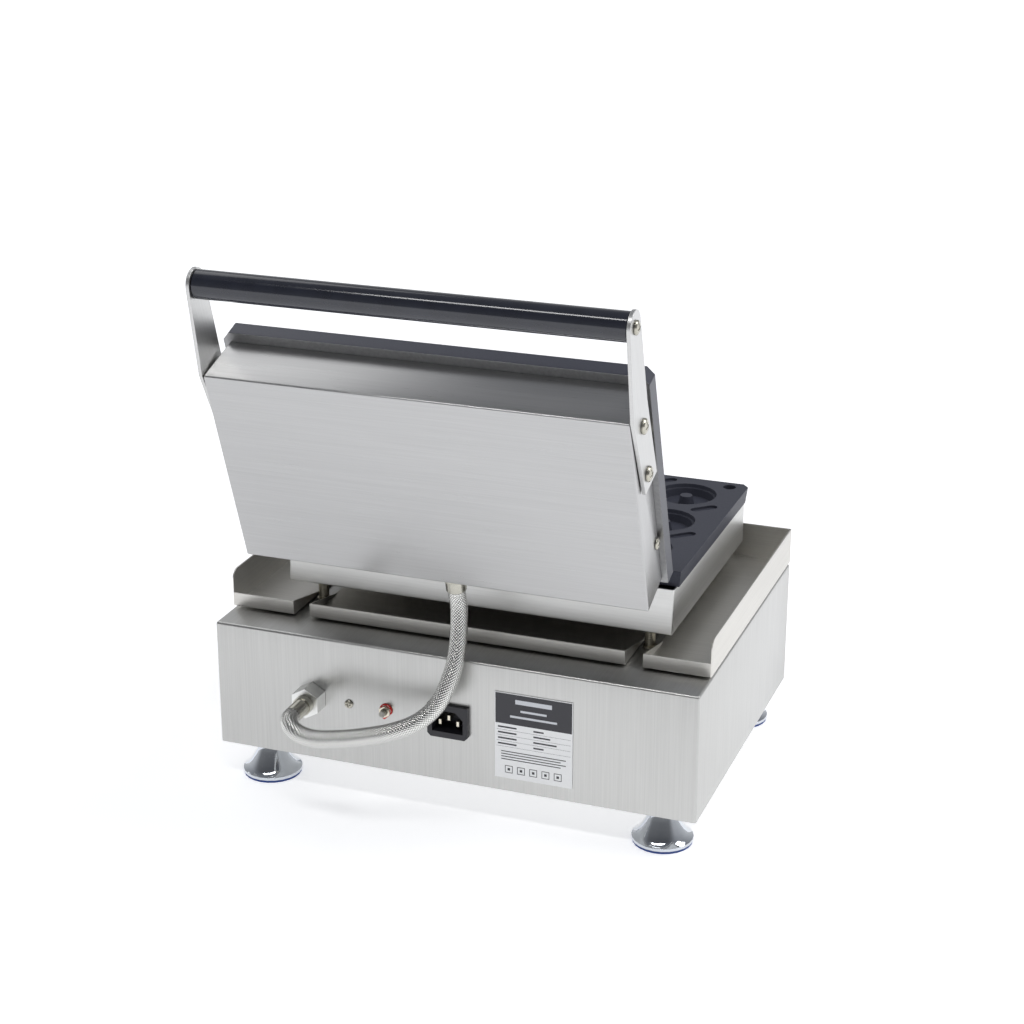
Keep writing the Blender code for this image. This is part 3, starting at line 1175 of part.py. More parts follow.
def power_switch():
    """The rocker, tilted to its off position about a pivot inside the frame."""
    at = (SWITCH_X, FRONT_Y + ROCKER_PIVOT_DEPTH, FOOT_HEIGHT + CONTROL_HEIGHT)
    axis = pivot("power_switch_axis", at, -ROCKER_THROW / 2)
    half = SWITCH_BODY_WIDTH / 2 - SWITCH_WALL - FIT
    back = arc((0, 0), ROCKER_BACK, math.radians(-70), math.radians(70), 6)
    outline = [(-ROCKER_WAIST, 0), (-ROCKER_TIP, -ROCKER_ARM), (-ROCKER_BACK, -ROCKER_ARM)] + back
    outline += [(-ROCKER_BACK, ROCKER_ARM), (-ROCKER_TIP, ROCKER_ARM)]
    prism("power_switch", outline, 0, -half, half, GLOSS_BLACK, axis)


def lamp(name, x, finish):
    """A snap-in pilot lamp with a domed lens."""
    z = FOOT_HEIGHT + CONTROL_HEIGHT
    profile = [(0, -LAMP_BODY_DEPTH), (LAMP_HOLE_RADIUS, -LAMP_BODY_DEPTH), (LAMP_HOLE_RADIUS, FIT)]
    profile += [(LAMP_COLLAR_RADIUS, FIT), (LAMP_COLLAR_RADIUS, LAMP_COLLAR)]
    profile += dome(LAMP_LENS_RADIUS, LAMP_COLLAR, LAMP_LENS)
    turned(name, profile, finish, (x, FRONT_Y, z), (0, -1, 0))


def terminal_block():
    """The mains terminals on the bottom cover, with a screw well for each way."""
    floor = FOOT_HEIGHT + BASE_SHEET + FIT
    half = TERMINAL_WIDTH / 2
    y = rear(TERMINAL_SETBACK)
    low = (-half, y - TERMINAL_DEPTH / 2, floor)
    high = (half, y + TERMINAL_DEPTH / 2, floor + TERMINAL_HEIGHT)
    body = block("terminal_block", low, high, CERAMIC)
    pitch = TERMINAL_WIDTH / TERMINAL_WAYS
    for way in range(TERMINAL_WAYS):
        x = -half + (way + 0.5) * pitch
        drill(body, f"way_{way}", TERMINAL_WELL_RADIUS, (x, y, high[2]), (0, 0, 1), TERMINAL_WELL_DEPTH)
    hole = SCREW_SHANK + HOLE_CLEARANCE
    drill(body, "screw", hole, (0, y, floor), (0, 0, -1), TERMINAL_HEIGHT - TERMINAL_WELL_DEPTH)
    length = TERMINAL_HEIGHT / 2
    sizes = (REAR_SCREW_HEAD, REAR_SCREW_DOME, length)
    pan_screw("terminal_screw", (0, y, FOOT_HEIGHT), (0, 0, -1), *sizes, POLISHED_STEEL)


def build():
    clear_scene()
    base_housing()
    bottom_cover()
    feet()
    drip_tray()
    posts()
    lower_box()
    hinge_at = (0, HINGE_Y, HINGE_Z)
    lower = pivot("lower_unit", hinge_at)
    lower_plate(lower)
    heater("lower_heater", PLATE_FACE - LOWER_PLATE_THICKNESS - FIT - HEATER_RADIUS, lower)
    hinge_pins()
    lid = pivot("lid_axis", hinge_at, -LID_OPEN_ANGLE)
    upper_plate(lid)
    heater("upper_heater", LID_MOUTH + HEATER_RADIUS, lid)
    upper_box(lid)
    arms(lid)
    handle_grip(lid)
    lid_screws(lid)
    power_inlet()
    earth_point()
    rear_screw()
    rating_plate()
    hose_fittings(lid)
    hose(Matrix.Translation(hinge_at) @ Matrix.Rotation(-LID_OPEN_ANGLE, 4, "X"))
    switch_frame()
    power_switch()
    lamp("power_lamp", POWER_LAMP_X, GREEN_LENS)
    lamp("heat_lamp", HEAT_LAMP_X, AMBER_LENS)
    control_body("thermostat", THERMOSTAT_X, THERMOSTAT_BODY_DEPTH)
    control_body("timer", TIMER_X, TIMER_BODY_DEPTH)
    knob("thermostat_knob", THERMOSTAT_X)
    knob("timer_knob", TIMER_X)
    terminal_block()


build()
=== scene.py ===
import math

import bpy
import numpy as np
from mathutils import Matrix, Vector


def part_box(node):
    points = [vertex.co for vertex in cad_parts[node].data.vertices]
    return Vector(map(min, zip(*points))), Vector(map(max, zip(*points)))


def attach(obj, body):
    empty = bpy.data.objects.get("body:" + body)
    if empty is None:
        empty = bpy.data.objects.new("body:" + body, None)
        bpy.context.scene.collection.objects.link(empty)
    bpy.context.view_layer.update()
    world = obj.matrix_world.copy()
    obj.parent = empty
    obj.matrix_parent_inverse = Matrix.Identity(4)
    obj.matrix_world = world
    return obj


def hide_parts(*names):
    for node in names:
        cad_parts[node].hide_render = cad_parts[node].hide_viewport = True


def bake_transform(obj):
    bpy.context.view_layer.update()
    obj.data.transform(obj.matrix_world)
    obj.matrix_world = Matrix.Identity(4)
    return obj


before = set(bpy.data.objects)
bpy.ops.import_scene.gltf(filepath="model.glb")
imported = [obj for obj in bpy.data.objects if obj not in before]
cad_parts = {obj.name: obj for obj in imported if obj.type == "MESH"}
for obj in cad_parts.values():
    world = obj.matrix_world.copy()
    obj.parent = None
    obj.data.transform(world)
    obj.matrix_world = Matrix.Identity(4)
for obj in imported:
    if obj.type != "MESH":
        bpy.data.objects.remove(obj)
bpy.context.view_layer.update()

MM = 0.001


# ---------------------------------------------------------------------------------------------
# Studio: a seamless pale floor, a large soft light over each shoulder and a view from behind.
# The floor glows a little, as a lit paper sweep does, so that it stays white to the horizon.
# ---------------------------------------------------------------------------------------------

VIEW_AZIMUTH = math.radians(200.409)
VIEW_ELEVATION = math.radians(20.634)
VIEW_DISTANCE = 1.6554
VIEW_TARGET = np.array([-0.0099, 0.0, 0.2084])
VIEW_LENS = 76.83  # mm on a 36 mm sensor


def linear(code):
    """An sRGB hex code as linear RGB: each channel through the sRGB transfer curve."""
    channels = np.array([int(code[i : i + 2], 16) for i in (1, 3, 5)]) / 255
    curved = np.where(channels <= 0.04045, channels / 12.92, ((channels + 0.055) / 1.055) ** 2.4)
    return (*curved.tolist(), 1.0)


def set_inputs(tree, node, inputs):
    """Link each input that is given a socket, and set any other to its value."""
    for key, value in inputs.items():
        if isinstance(value, bpy.types.NodeSocket):
            tree.links.new(value, node.inputs[key])
        else:
            node.inputs[key].default_value = value


def add_node(tree, kind, inputs=None, **settings):
    """Add a node with its settings and its inputs."""
    node = tree.nodes.new(kind)
    for name, value in settings.items():
        setattr(node, name, value)
    set_inputs(tree, node, inputs or {})
    return node


def new_material(name):
    """An empty material's node tree and its Principled shader, already linked to the output."""
    material = bpy.data.materials.new(name)
    material.use_nodes = True
    tree = material.node_tree
    tree.nodes.clear()
    shader = add_node(tree, "ShaderNodeBsdfPrincipled")
    add_node(tree, "ShaderNodeOutputMaterial", {"Surface": shader.outputs[0]})
    return material, tree, shader


def mesh_piece(name, points, faces, material, smooth=True):
    """A mesh object at the origin from arrays of points and faces."""
    mesh = bpy.data.meshes.new(name)
    mesh.from_pydata(points.tolist(), [], faces.tolist())
    mesh.polygons.foreach_set("use_smooth", np.full(len(mesh.polygons), smooth))
    mesh.materials.append(material)
    piece = bpy.data.objects.new(name, mesh)
    bpy.context.scene.collection.objects.link(piece)
    return piece


def view_camera():
    """The camera on a sphere round its target."""
    back = np.array(
        [
            math.sin(VIEW_AZIMUTH) * math.cos(VIEW_ELEVATION),
            -math.cos(VIEW_AZIMUTH) * math.cos(VIEW_ELEVATION),
            math.sin(VIEW_ELEVATION),
        ]
    )
    camera = bpy.data.objects.new("camera", bpy.data.cameras.new("camera"))
    camera.data.lens = VIEW_LENS
    camera.data.sensor_width = 36
    camera.data.clip_start = 0.05
    camera.location = VIEW_TARGET + VIEW_DISTANCE * back
    camera.rotation_euler = (math.pi / 2 - VIEW_ELEVATION, 0, VIEW_AZIMUTH)
    bpy.context.scene.collection.objects.link(camera)
    bpy.context.scene.camera = camera


def paper_floor():
    """A large flat sheet of matt paper under the feet."""
    material, tree, shader = new_material("matt white paper")
    place = add_node(tree, "ShaderNodeTexCoord")
    fibre = add_node(
        tree, "ShaderNodeTexNoise", {"Vector": place.outputs["Object"], "Scale": 400.0}
    )
    tone = add_node(
        tree,
        "ShaderNodeMix",
        {"Factor": fibre.outputs["Fac"], "A": linear("#EDEDED"), "B": linear("#F2F2F2")},
        data_type="RGBA",
    )
    set_inputs(tree, shader, {"Base Color": tone.outputs["Result"]})
    distance = add_node(
        tree, "ShaderNodeVectorMath", {0: place.outputs["Object"]}, operation="LENGTH"
    )
    glow = add_node(
        tree,
        "ShaderNodeMapRange",
        {
            "Value": distance.outputs["Value"],
            "From Min": 0.5,
            "From Max": 2.5,
            "To Min": 0.58,
            "To Max": 0.95,
        },
        interpolation_type="SMOOTHSTEP",
    )
    set_inputs(
        tree,
        shader,
        {
            "Roughness": 0.9,
            "Emission Color": linear("#FBFCFF"),
            "Emission Strength": glow.outputs["Result"],
        },
    )
    reach = 14.0  # metres each way, far past what any view takes in
    points = reach * np.array([[-1, -1, 0], [1, -1, 0], [1, 1, 0], [-1, 1, 0]])
    floor = mesh_piece("paper_floor", points, np.array([[0, 1, 2, 3]]), material)


def soft_light(name, place, target, size, power):
    """A soft box, given as wide and high, aimed at a point."""
    light = bpy.data.lights.new(name, "AREA")
    light.shape = "RECTANGLE"
    light.size, light.size_y = size
    light.energy = power
    lamp = bpy.data.objects.new(name, light)
    lamp.location = place
    away = np.array(place) - np.array(target)
    away = away / np.linalg.norm(away)
    lamp.rotation_euler = (math.acos(away[2]), 0, math.atan2(away[0], -away[1]))
    bpy.context.scene.collection.objects.link(lamp)


def studio_world():
    """Even light from a pale room, darker overhead and darkest on the side the view is from."""
    world = bpy.data.worlds.new("studio")
    world.use_nodes = True
    tree = world.node_tree
    tree.nodes.clear()
    place = add_node(tree, "ShaderNodeTexCoord")
    height = add_node(tree, "ShaderNodeSeparateXYZ", {"Vector": place.outputs["Generated"]})
    ramp = add_node(tree, "ShaderNodeValToRGB", {"Fac": height.outputs["Z"]})
    ramp.color_ramp.elements[0].position = 0.02
    ramp.color_ramp.elements[0].color = linear("#F6F7F8")
    ramp.color_ramp.elements[1].position = 0.75
    ramp.color_ramp.elements[1].color = linear("#9A9CA1")
    behind = add_node(
        tree,
        "ShaderNodeMapRange",
        {
            "Value": height.outputs["Y"],
            "From Min": 0.0,
            "From Max": 0.55,
            "To Min": 0.7,
            "To Max": 0.28,
        },
        interpolation_type="SMOOTHSTEP",
    )
    glow = add_node(
        tree,
        "ShaderNodeBackground",
        {"Color": ramp.outputs["Color"], "Strength": behind.outputs["Result"]},
    )
    add_node(tree, "ShaderNodeOutputWorld", {"Surface": glow.outputs[0]})
    bpy.context.scene.world = world


view_camera()
studio_world()
paper_floor()
soft_light("key_softbox", (-1.5, -0.5, 2.2), (0, 0, 0.2), (1.3, 1.3), 24)
soft_light("fill_softbox", (1.12, -0.5, 1.45), (0, 0, 0.3), (0.9, 1.1), 3.4)
soft_light("strip_light", (0.1, 1.25, 2.4), (0, 0, 0.4), (1.8, 0.24), 16)
bpy.context.scene.view_settings.view_transform = "Standard"


# ---------------------------------------------------------------------------------------------
# Hose: stainless wire braid over a liner, thirteen millimetres thick, between two crimped
# ferrules. The wires run in two crossing helices, each strand passing over and under in turn.
# ---------------------------------------------------------------------------------------------

HOSE_RADIUS = 6.5 * MM
HOSE_STRANDS = 18  # in each direction, coarser than real wire so that they show
HOSE_SAMPLES = 128  # round the hose
HOSE_STEP = 0.42 * MM  # along the hose
HOSE_RELIEF = 0.5 * MM  # from the gaps between strands to their crowns
REAR_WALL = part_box("base_housing")[1][1]
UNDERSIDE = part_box("base_housing")[0][2]
HOSE_START = (110.5 * MM, 35.3 * MM, 51 * MM)
HOSE_END = (-6 * MM, -2.542 * MM, 154.532 * MM)
HOSE_OUT = (0, 1, 0)
HOSE_INTO_LID = (0, 0.222567, 0.974917)
HOSE_STRAIGHT = 2 * MM
HOSE_ROUTE = (
    (109.6 * MM, 42.5 * MM, 50.7 * MM),
    (106.5 * MM, 47.5 * MM, 49.5 * MM),
    (99 * MM, 52.5 * MM, 47.5 * MM),
    (88 * MM, 54 * MM, 45.5 * MM),
    (68 * MM, 50 * MM, 46 * MM),
    (48 * MM, 43.5 * MM, 48.5 * MM),
    (30 * MM, 37.5 * MM, 52.5 * MM),
    (12 * MM, 31 * MM, 60.5 * MM),
    (0 * MM, 24.5 * MM, 72 * MM),
    (-6.5 * MM, 18 * MM, 87 * MM),
    (-9.5 * MM, 10.8 * MM, 102 * MM),
    (-9.6 * MM, 4.5 * MM, 116 * MM),
    (-8.6 * MM, -0.5 * MM, 130 * MM),
    (-7.3 * MM, -3.2 * MM, 143 * MM),
)


def smooth_path(knots, start_along, end_along, spacing):
    """Even points on a cubic Hermite through the knots, tangents being weighted chord slopes."""
    points = np.array(knots)
    gaps = np.linalg.norm(np.diff(points, axis=0), axis=1)
    slopes = np.diff(points, axis=0) / gaps[:, None]
    tangents = np.empty_like(points)
    weights = gaps[:-1, None] + gaps[1:, None]
    tangents[1:-1] = (slopes[:-1] * gaps[1:, None] + slopes[1:] * gaps[:-1, None]) / weights
    tangents[0] = start_along
    tangents[-1] = end_along
    t = np.linspace(0, 1, 40, endpoint=False)[None, :, None]
    gap = gaps[:, None, None]
    fine = (
        (1 + 2 * t) * (1 - t) ** 2 * points[:-1, None]
        + t * (1 - t) ** 2 * gap * tangents[:-1, None]
        + t**2 * (3 - 2 * t) * points[1:, None]
        + t**2 * (t - 1) * gap * tangents[1:, None]
    )
    fine = np.vstack([fine.reshape(-1, 3), points[-1:]])
    run = np.concatenate([[0], np.cumsum(np.linalg.norm(np.diff(fine, axis=0), axis=1))])
    wanted = np.linspace(0, run[-1], max(2, round(run[-1] / spacing)) + 1)
    return np.stack([np.interp(wanted, run, fine[:, k]) for k in range(3)], axis=1)


def braid_height(around, along):
    """Height, 0 to 1, of two crossing sets of strands.

    Each set counts strands across itself; where the two counts' whole parts sum to an even
    number the first set lies on top. The top strand bulges across its width and over its partner.
    """
    first = around + along
    second = around - along
    on_top = (np.floor(first) + np.floor(second)) % 2 == 0
    across = np.where(on_top, first, second) % 1
    lengthwise = np.where(on_top, second, first) % 1
    return np.sqrt(np.sin(math.pi * across)) * (0.35 + 0.65 * np.sin(math.pi * lengthwise))


def braid_wire():
    """Stainless steel wire, drawn and braided, with light and shade painted into its colour by the
    braid's height: a painted highlight on each strand's crown and painted shade in the gaps.
    """
    material, tree, shader = new_material("braided stainless wire")
    height = add_node(tree, "ShaderNodeAttribute", attribute_name="braid_height")
    # Painted highlight and painted shade: the colour runs from dark grey in the gaps to near-white
    # on the crowns, by the braid's height.
    tone = add_node(tree, "ShaderNodeValToRGB", {"Fac": height.outputs["Fac"]})
    tone.color_ramp.elements[0].position = 0.12
    tone.color_ramp.elements[0].color = linear("#5A5A55")
    tone.color_ramp.elements[1].position = 0.75
    tone.color_ramp.elements[1].color = linear("#EDEDEA")
    uv = add_node(tree, "ShaderNodeUVMap", uv_map="braid")
    wires = add_node(
        tree,
        "ShaderNodeTexWave",
        {"Vector": uv.outputs["UV"], "Scale": 1.6, "Distortion": 0.0},
        bands_direction="DIAGONAL",
    )
    bump = add_node(
        tree,
        "ShaderNodeBump",
        {"Height": wires.outputs["Fac"], "Distance": 0.05 * MM, "Strength": 0.5},
    )
    set_inputs(
        tree,
        shader,
        {
            "Base Color": tone.outputs["Color"],
            "Metallic": 1.0,
            "Roughness": 0.2,
            "Normal": bump.outputs["Normal"],
        },
    )
    return material


def braided_hose():
    """A tube round the route: centre + radius x (cosine x normal + sine x binormal)."""
    origin = np.array([0, REAR_WALL, UNDERSIDE])
    start = origin + HOSE_START
    end = origin + HOSE_END
    knots = [start + HOSE_STRAIGHT * np.array(HOSE_OUT)]
    knots += [origin + point for point in np.array(HOSE_ROUTE)]
    knots += [end - HOSE_STRAIGHT * np.array(HOSE_INTO_LID)]
    centre = np.vstack([start, smooth_path(knots, HOSE_OUT, HOSE_INTO_LID, HOSE_STEP), end])
    run = np.concatenate([[0], np.cumsum(np.linalg.norm(np.diff(centre, axis=0), axis=1))])
    tangent = np.gradient(centre, run, axis=0)
    tangent /= np.linalg.norm(tangent, axis=1, keepdims=True)
    normal = np.cross(tangent, np.array([1, -1, 1]) / math.sqrt(3))
    normal /= np.linalg.norm(normal, axis=1, keepdims=True)
    binormal = np.cross(tangent, normal)
    angle = np.arange(HOSE_SAMPLES) * 2 * math.pi / HOSE_SAMPLES
    pitch = 2 * math.pi * HOSE_RADIUS / HOSE_STRANDS
    around = HOSE_STRANDS * angle[None, :] / (2 * math.pi)
    along = run[:, None] / pitch
    height = braid_height(around, along)
    radius = HOSE_RADIUS - HOSE_RELIEF * (1 - height)
    across, upward = np.cos(angle)[None, :, None], np.sin(angle)[None, :, None]
    ring = across * normal[:, None] + upward * binormal[:, None]
    points = (centre[:, None] + radius[:, :, None] * ring).reshape(-1, 3)
    rows, columns = len(centre), HOSE_SAMPLES
    i, j = np.meshgrid(np.arange(rows - 1), np.arange(columns), indexing="ij")
    k = (j + 1) % columns
    this, after = i * columns, (i + 1) * columns
    faces = np.stack([this + j, this + k, after + k, after + j], axis=-1).reshape(-1, 4)
    hub = len(points)
    points = np.vstack([points, start, end])
    j = np.arange(columns)
    k = (j + 1) % columns
    last = (rows - 1) * columns
    near = np.stack([k, j, np.full(columns, hub)], axis=-1)
    far = np.stack([last + j, last + k, np.full(columns, hub + 1)], axis=-1)
    mesh = bpy.data.meshes.new("braided_hose")
    mesh.from_pydata(points.tolist(), [], faces.tolist() + near.tolist() + far.tolist())
    mesh.polygons.foreach_set("use_smooth", np.full(len(mesh.polygons), True))
    mesh.materials.append(braid_wire())
    # The crown heights also drive the wire's painted highlight and painted shade.
    crown = mesh.attributes.new("braid_height", "FLOAT", "POINT")
    crown.data.foreach_set("value", np.concatenate([height.ravel(), [0, 0]]).astype(np.float32))
    index = np.empty(len(mesh.loops), dtype=np.int32)
    mesh.loops.foreach_get("vertex_index", index)
    cells = np.stack(np.broadcast_arrays(around, along), axis=-1)
    cells = np.vstack([cells.reshape(-1, 2), [[0, 0], [0, 0]]])
    mesh.uv_layers.new(name="braid").data.foreach_set("uv", cells[index].ravel().astype(np.float32))
    piece = bpy.data.objects.new("braided_hose", mesh)
    bpy.context.scene.collection.objects.link(piece)
    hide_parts("hose")
    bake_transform(piece)


braided_hose()


# ---------------------------------------------------------------------------------------------
# Base: one folded sheet of 304 stainless with a number 4 brushed finish, closed from below by a
# pan of the same sheet. The grain runs up the walls and from front to back over the top.
# ---------------------------------------------------------------------------------------------

def smooth_round_faces():
    """Welds a part's triangles and shades its curved faces smooth, keeping its folds crisp."""
    group = bpy.data.node_groups.new("smooth round faces", "GeometryNodeTree")
    group.interface.new_socket("Geometry", in_out="INPUT", socket_type="NodeSocketGeometry")
    group.interface.new_socket("Geometry", in_out="OUTPUT", socket_type="NodeSocketGeometry")
    entry = add_node(group, "NodeGroupInput")
    bare = add_node(
        group,
        "GeometryNodeRemoveAttribute",
        {"Geometry": entry.outputs[0], "Name": "custom_normal"},
    )
    merged = add_node(
        group, "GeometryNodeMergeByDistance", {"Geometry": bare.outputs[0], "Distance": 0.01 * MM}
    )
    rounded = add_node(group, "GeometryNodeSetShadeSmooth", {"Geometry": merged.outputs[0]})
    angle = add_node(group, "GeometryNodeInputMeshEdgeAngle")
    crisp = add_node(
        group,
        "FunctionNodeCompare",
        {"A": angle.outputs["Unsigned Angle"], "B": math.radians(33)},
        operation="GREATER_THAN",
    )
    folded = add_node(
        group,
        "GeometryNodeSetShadeSmooth",
        {"Geometry": rounded.outputs[0], "Selection": crisp.outputs[0], "Shade Smooth": False},
        domain="EDGE",
    )
    add_node(group, "NodeGroupOutput", {"Geometry": folded.outputs[0]})
    return group


SMOOTHING = smooth_round_faces()


def dress(names, material):
    """Give CAD nodes their material and smooth shading."""
    for name in names:
        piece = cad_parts[name]
        for material_slot in piece.material_slots:
            material_slot.material = material
        piece.modifiers.new("smooth round faces", "NODES").node_group = SMOOTHING


def brushed_steel(name, grain, side_grain, colour, roughness, tilt=0.0):
    """Stainless sheet brushed with 180 grit: long fine scratches in one direction.

    grain and side_grain are scratches per metre along X, Y and Z, on faces across Y or Z and on
    faces across X. The scratches are about 0.8 mm apart, coarser than grit's, so that they show.
    """
    material, tree, shader = new_material(name)
    place = add_node(tree, "ShaderNodeTexCoord")
    turned = add_node(
        tree, "ShaderNodeMapping", {"Vector": place.outputs["Object"], "Rotation": (-tilt, 0, 0)}
    )
    facing = add_node(tree, "ShaderNodeSeparateXYZ", {"Vector": place.outputs["Normal"]})
    sideways = add_node(tree, "ShaderNodeMath", {0: facing.outputs["X"]}, operation="ABSOLUTE")
    is_side = add_node(
        tree, "ShaderNodeMath", {0: sideways.outputs[0], 1: 0.7}, operation="GREATER_THAN"
    )
    scales = add_node(
        tree,
        "ShaderNodeMix",
        {"Factor": is_side.outputs[0], "A": grain, "B": side_grain},
        data_type="VECTOR",
    )
    stretched = add_node(
        tree,
        "ShaderNodeVectorMath",
        {0: turned.outputs["Vector"], 1: scales.outputs["Result"]},
        operation="MULTIPLY",
    )
    scratches = add_node(
        tree,
        "ShaderNodeTexNoise",
        {"Vector": stretched.outputs[0], "Scale": 1.0, "Detail": 4.0, "Roughness": 0.6},
    )
    streaks = add_node(
        tree,
        "ShaderNodeTexNoise",
        {"Vector": stretched.outputs[0], "Scale": 0.8, "Detail": 3.0, "Roughness": 0.6},
    )
    dull, bright = colour
    tone = add_node(
        tree,
        "ShaderNodeMix",
        {"Factor": streaks.outputs["Fac"], "A": linear(dull), "B": linear(bright)},
        data_type="RGBA",
    )
    set_inputs(tree, shader, {"Base Color": tone.outputs["Result"]})
    gloss = add_node(
        tree,
        "ShaderNodeMapRange",
        {
            "Value": scratches.outputs["Fac"],
            "From Min": 0.3,
            "From Max": 0.7,
            "To Min": roughness - 0.03,
            "To Max": roughness + 0.05,
        },
    )
    edge = add_node(tree, "ShaderNodeBevel", {"Radius": 0.5 * MM}, samples=4)
    bump = add_node(
        tree,
        "ShaderNodeBump",
        {
            "Height": scratches.outputs["Fac"],
            "Distance": 0.01 * MM,
            "Strength": 0.45,
            "Normal": edge.outputs["Normal"],
        },
    )
    set_inputs(
        tree,
        shader,
        {"Metallic": 1.0, "Roughness": gloss.outputs["Result"], "Normal": bump.outputs["Normal"]},
    )
    return material


FINE = 1250.0  # scratches per metre across the grain
LONG = 14.0  # and along it
UPRIGHT_STEEL = brushed_steel(
    "brushed stainless sheet, upright grain",
    (FINE, LONG, LONG),
    (LONG, FINE, LONG),
    ("#B7B7B5", "#CCCCCA"),
    0.32,
)
dress(["base_housing", "bottom_cover"], UPRIGHT_STEEL)


# ---------------------------------------------------------------------------------------------
# Levelling feet: turned steel bells with bright chrome plating, each standing on a moulded blue
# rubber pad. A threaded stud takes each bell up through the bottom cover.
# ---------------------------------------------------------------------------------------------


def chrome(name, colour, roughness):
    """Polished steel under bright chrome: almost a mirror, with a faint cloud in its gloss."""
    material, tree, shader = new_material(name)
    place = add_node(tree, "ShaderNodeTexCoord")
    cloud = add_node(
        tree,
        "ShaderNodeTexNoise",
        {"Vector": place.outputs["Object"], "Scale": 90.0, "Detail": 3.0},
    )
    dull, bright = colour
    tone = add_node(
        tree,
        "ShaderNodeMix",
        {"Factor": cloud.outputs["Fac"], "A": linear(dull), "B": linear(bright)},
        data_type="RGBA",
    )
    set_inputs(tree, shader, {"Base Color": tone.outputs["Result"]})
    gloss = add_node(
        tree,
        "ShaderNodeMapRange",
        {"Value": cloud.outputs["Fac"], "To Min": roughness, "To Max": roughness + 0.08},
    )
    edge = add_node(tree, "ShaderNodeBevel", {"Radius": 0.4 * MM}, samples=4)
    set_inputs(
        tree,
        shader,
        {"Metallic": 1.0, "Roughness": gloss.outputs["Result"], "Normal": edge.outputs["Normal"]},
    )
    return material


def moulded(name, colour, roughness, grain_mm, depth_mm):
    """A moulded plastic or rubber with a fine spark-eroded texture."""
    material, tree, shader = new_material(name)
    place = add_node(tree, "ShaderNodeTexCoord")
    grain = add_node(
        tree,
        "ShaderNodeTexNoise",
        {"Vector": place.outputs["Object"], "Scale": 1000.0 / grain_mm, "Detail": 3.0},
    )
    dark, light = colour
    tone = add_node(
        tree,
        "ShaderNodeMix",
        {"Factor": grain.outputs["Fac"], "A": linear(dark), "B": linear(light)},
        data_type="RGBA",
    )
    set_inputs(tree, shader, {"Base Color": tone.outputs["Result"]})
    gloss = add_node(
        tree,
        "ShaderNodeMapRange",
        {"Value": grain.outputs["Fac"], "To Min": roughness - 0.04, "To Max": roughness + 0.06},
    )
    edge = add_node(tree, "ShaderNodeBevel", {"Radius": 0.4 * MM}, samples=4)
    bump = add_node(
        tree,
        "ShaderNodeBump",
        {
            "Height": grain.outputs["Fac"],
            "Distance": depth_mm * MM,
            "Strength": 0.5,
            "Normal": edge.outputs["Normal"],
        },
    )
    set_inputs(
        tree, shader, {"Roughness": gloss.outputs["Result"], "Normal": bump.outputs["Normal"]}
    )
    return material


CORNERS = [f"{end}_{hand}" for end in ("rear", "front") for hand in ("left", "right")]
CHROME = chrome("bright chrome plating", ("#C6CBD2", "#DCE0E6"), 0.05)
dress([f"foot_{corner}" for corner in CORNERS], CHROME)
BLUE_RUBBER = moulded("moulded blue rubber", ("#16316E", "#274A9C"), 0.55, 0.8, 0.05)
dress([f"foot_pad_{corner}" for corner in CORNERS], BLUE_RUBBER)


# ---------------------------------------------------------------------------------------------
# Drip tray: thin stainless sheet, brushed along its length, slotted for the posts and folded up
# at the rear. It slides out under the cooking unit on small pressed bosses.
# ---------------------------------------------------------------------------------------------

TRAY_STEEL = brushed_steel(
    "brushed stainless sheet, tray",
    (LONG, FINE, FINE),
    (LONG, LONG, FINE),
    ("#CCCAC5", "#E1DFDA"),
    0.42,
)
dress(["drip_tray"], TRAY_STEEL)


# ---------------------------------------------------------------------------------------------
# Posts: four threaded steel pillars with a flange, which stand on the base and carry the cooking
# unit through the tray's slots. Their surface is turned and has gone slightly brown.
# ---------------------------------------------------------------------------------------------


def threaded_steel(name, colour, pitch_mm):
    """Bright steel with a rolled thread, drawn as rings at the thread's pitch."""
    material, tree, shader = new_material(name)
    place = add_node(tree, "ShaderNodeTexCoord")
    rings = add_node(
        tree,
        "ShaderNodeTexWave",
        {"Vector": place.outputs["Object"], "Scale": 314.16 / pitch_mm, "Distortion": 0.4},
        bands_direction="Z",
    )
    stain = add_node(
        tree, "ShaderNodeTexNoise", {"Vector": place.outputs["Object"], "Scale": 260.0}
    )
    dark, light = colour
    tone = add_node(
        tree,
        "ShaderNodeMix",
        {"Factor": stain.outputs["Fac"], "A": linear(dark), "B": linear(light)},
        data_type="RGBA",
    )
    set_inputs(tree, shader, {"Base Color": tone.outputs["Result"]})
    bump = add_node(
        tree,
        "ShaderNodeBump",
        {"Height": rings.outputs["Fac"], "Distance": 0.3 * MM, "Strength": 0.6},
    )
    set_inputs(
        tree, shader, {"Metallic": 1.0, "Roughness": 0.3, "Normal": bump.outputs["Normal"]}
    )
    return material


POST_STEEL = threaded_steel("rolled steel thread", ("#8C8778", "#C9C4B4"), 1.75)
dress([f"post_{corner}" for corner in CORNERS], POST_STEEL)


# ---------------------------------------------------------------------------------------------
# Lower box: a brushed stainless pan, welded at its corners, with a sheathed heating element
# under the lower plate. The lid's element has the same sheath.
# ---------------------------------------------------------------------------------------------

BOX_STEEL = brushed_steel(
    "brushed stainless sheet, lengthwise grain",
    (LONG, FINE, FINE),
    (LONG, LONG, FINE),
    ("#D6D6D4", "#E8E8E6"),
    0.42,
)
dress(["lower_box"], BOX_STEEL)
HEATED_STEEL = threaded_steel("heat-stained steel sheath", ("#3A3531", "#5C544C"), 6.0)
dress(["lower_heater", "upper_heater"], HEATED_STEEL)


# ---------------------------------------------------------------------------------------------
# Cooking plates: cast aluminium with fifteen ring wells, sprayed with a dark blue-grey non-stick
# coat that leaves a fine orange peel. The upper plate's back face is machined and left bare.
# ---------------------------------------------------------------------------------------------

LID_TILT = math.radians(-109.2)  # the lid's turn about X from shut to how it stands


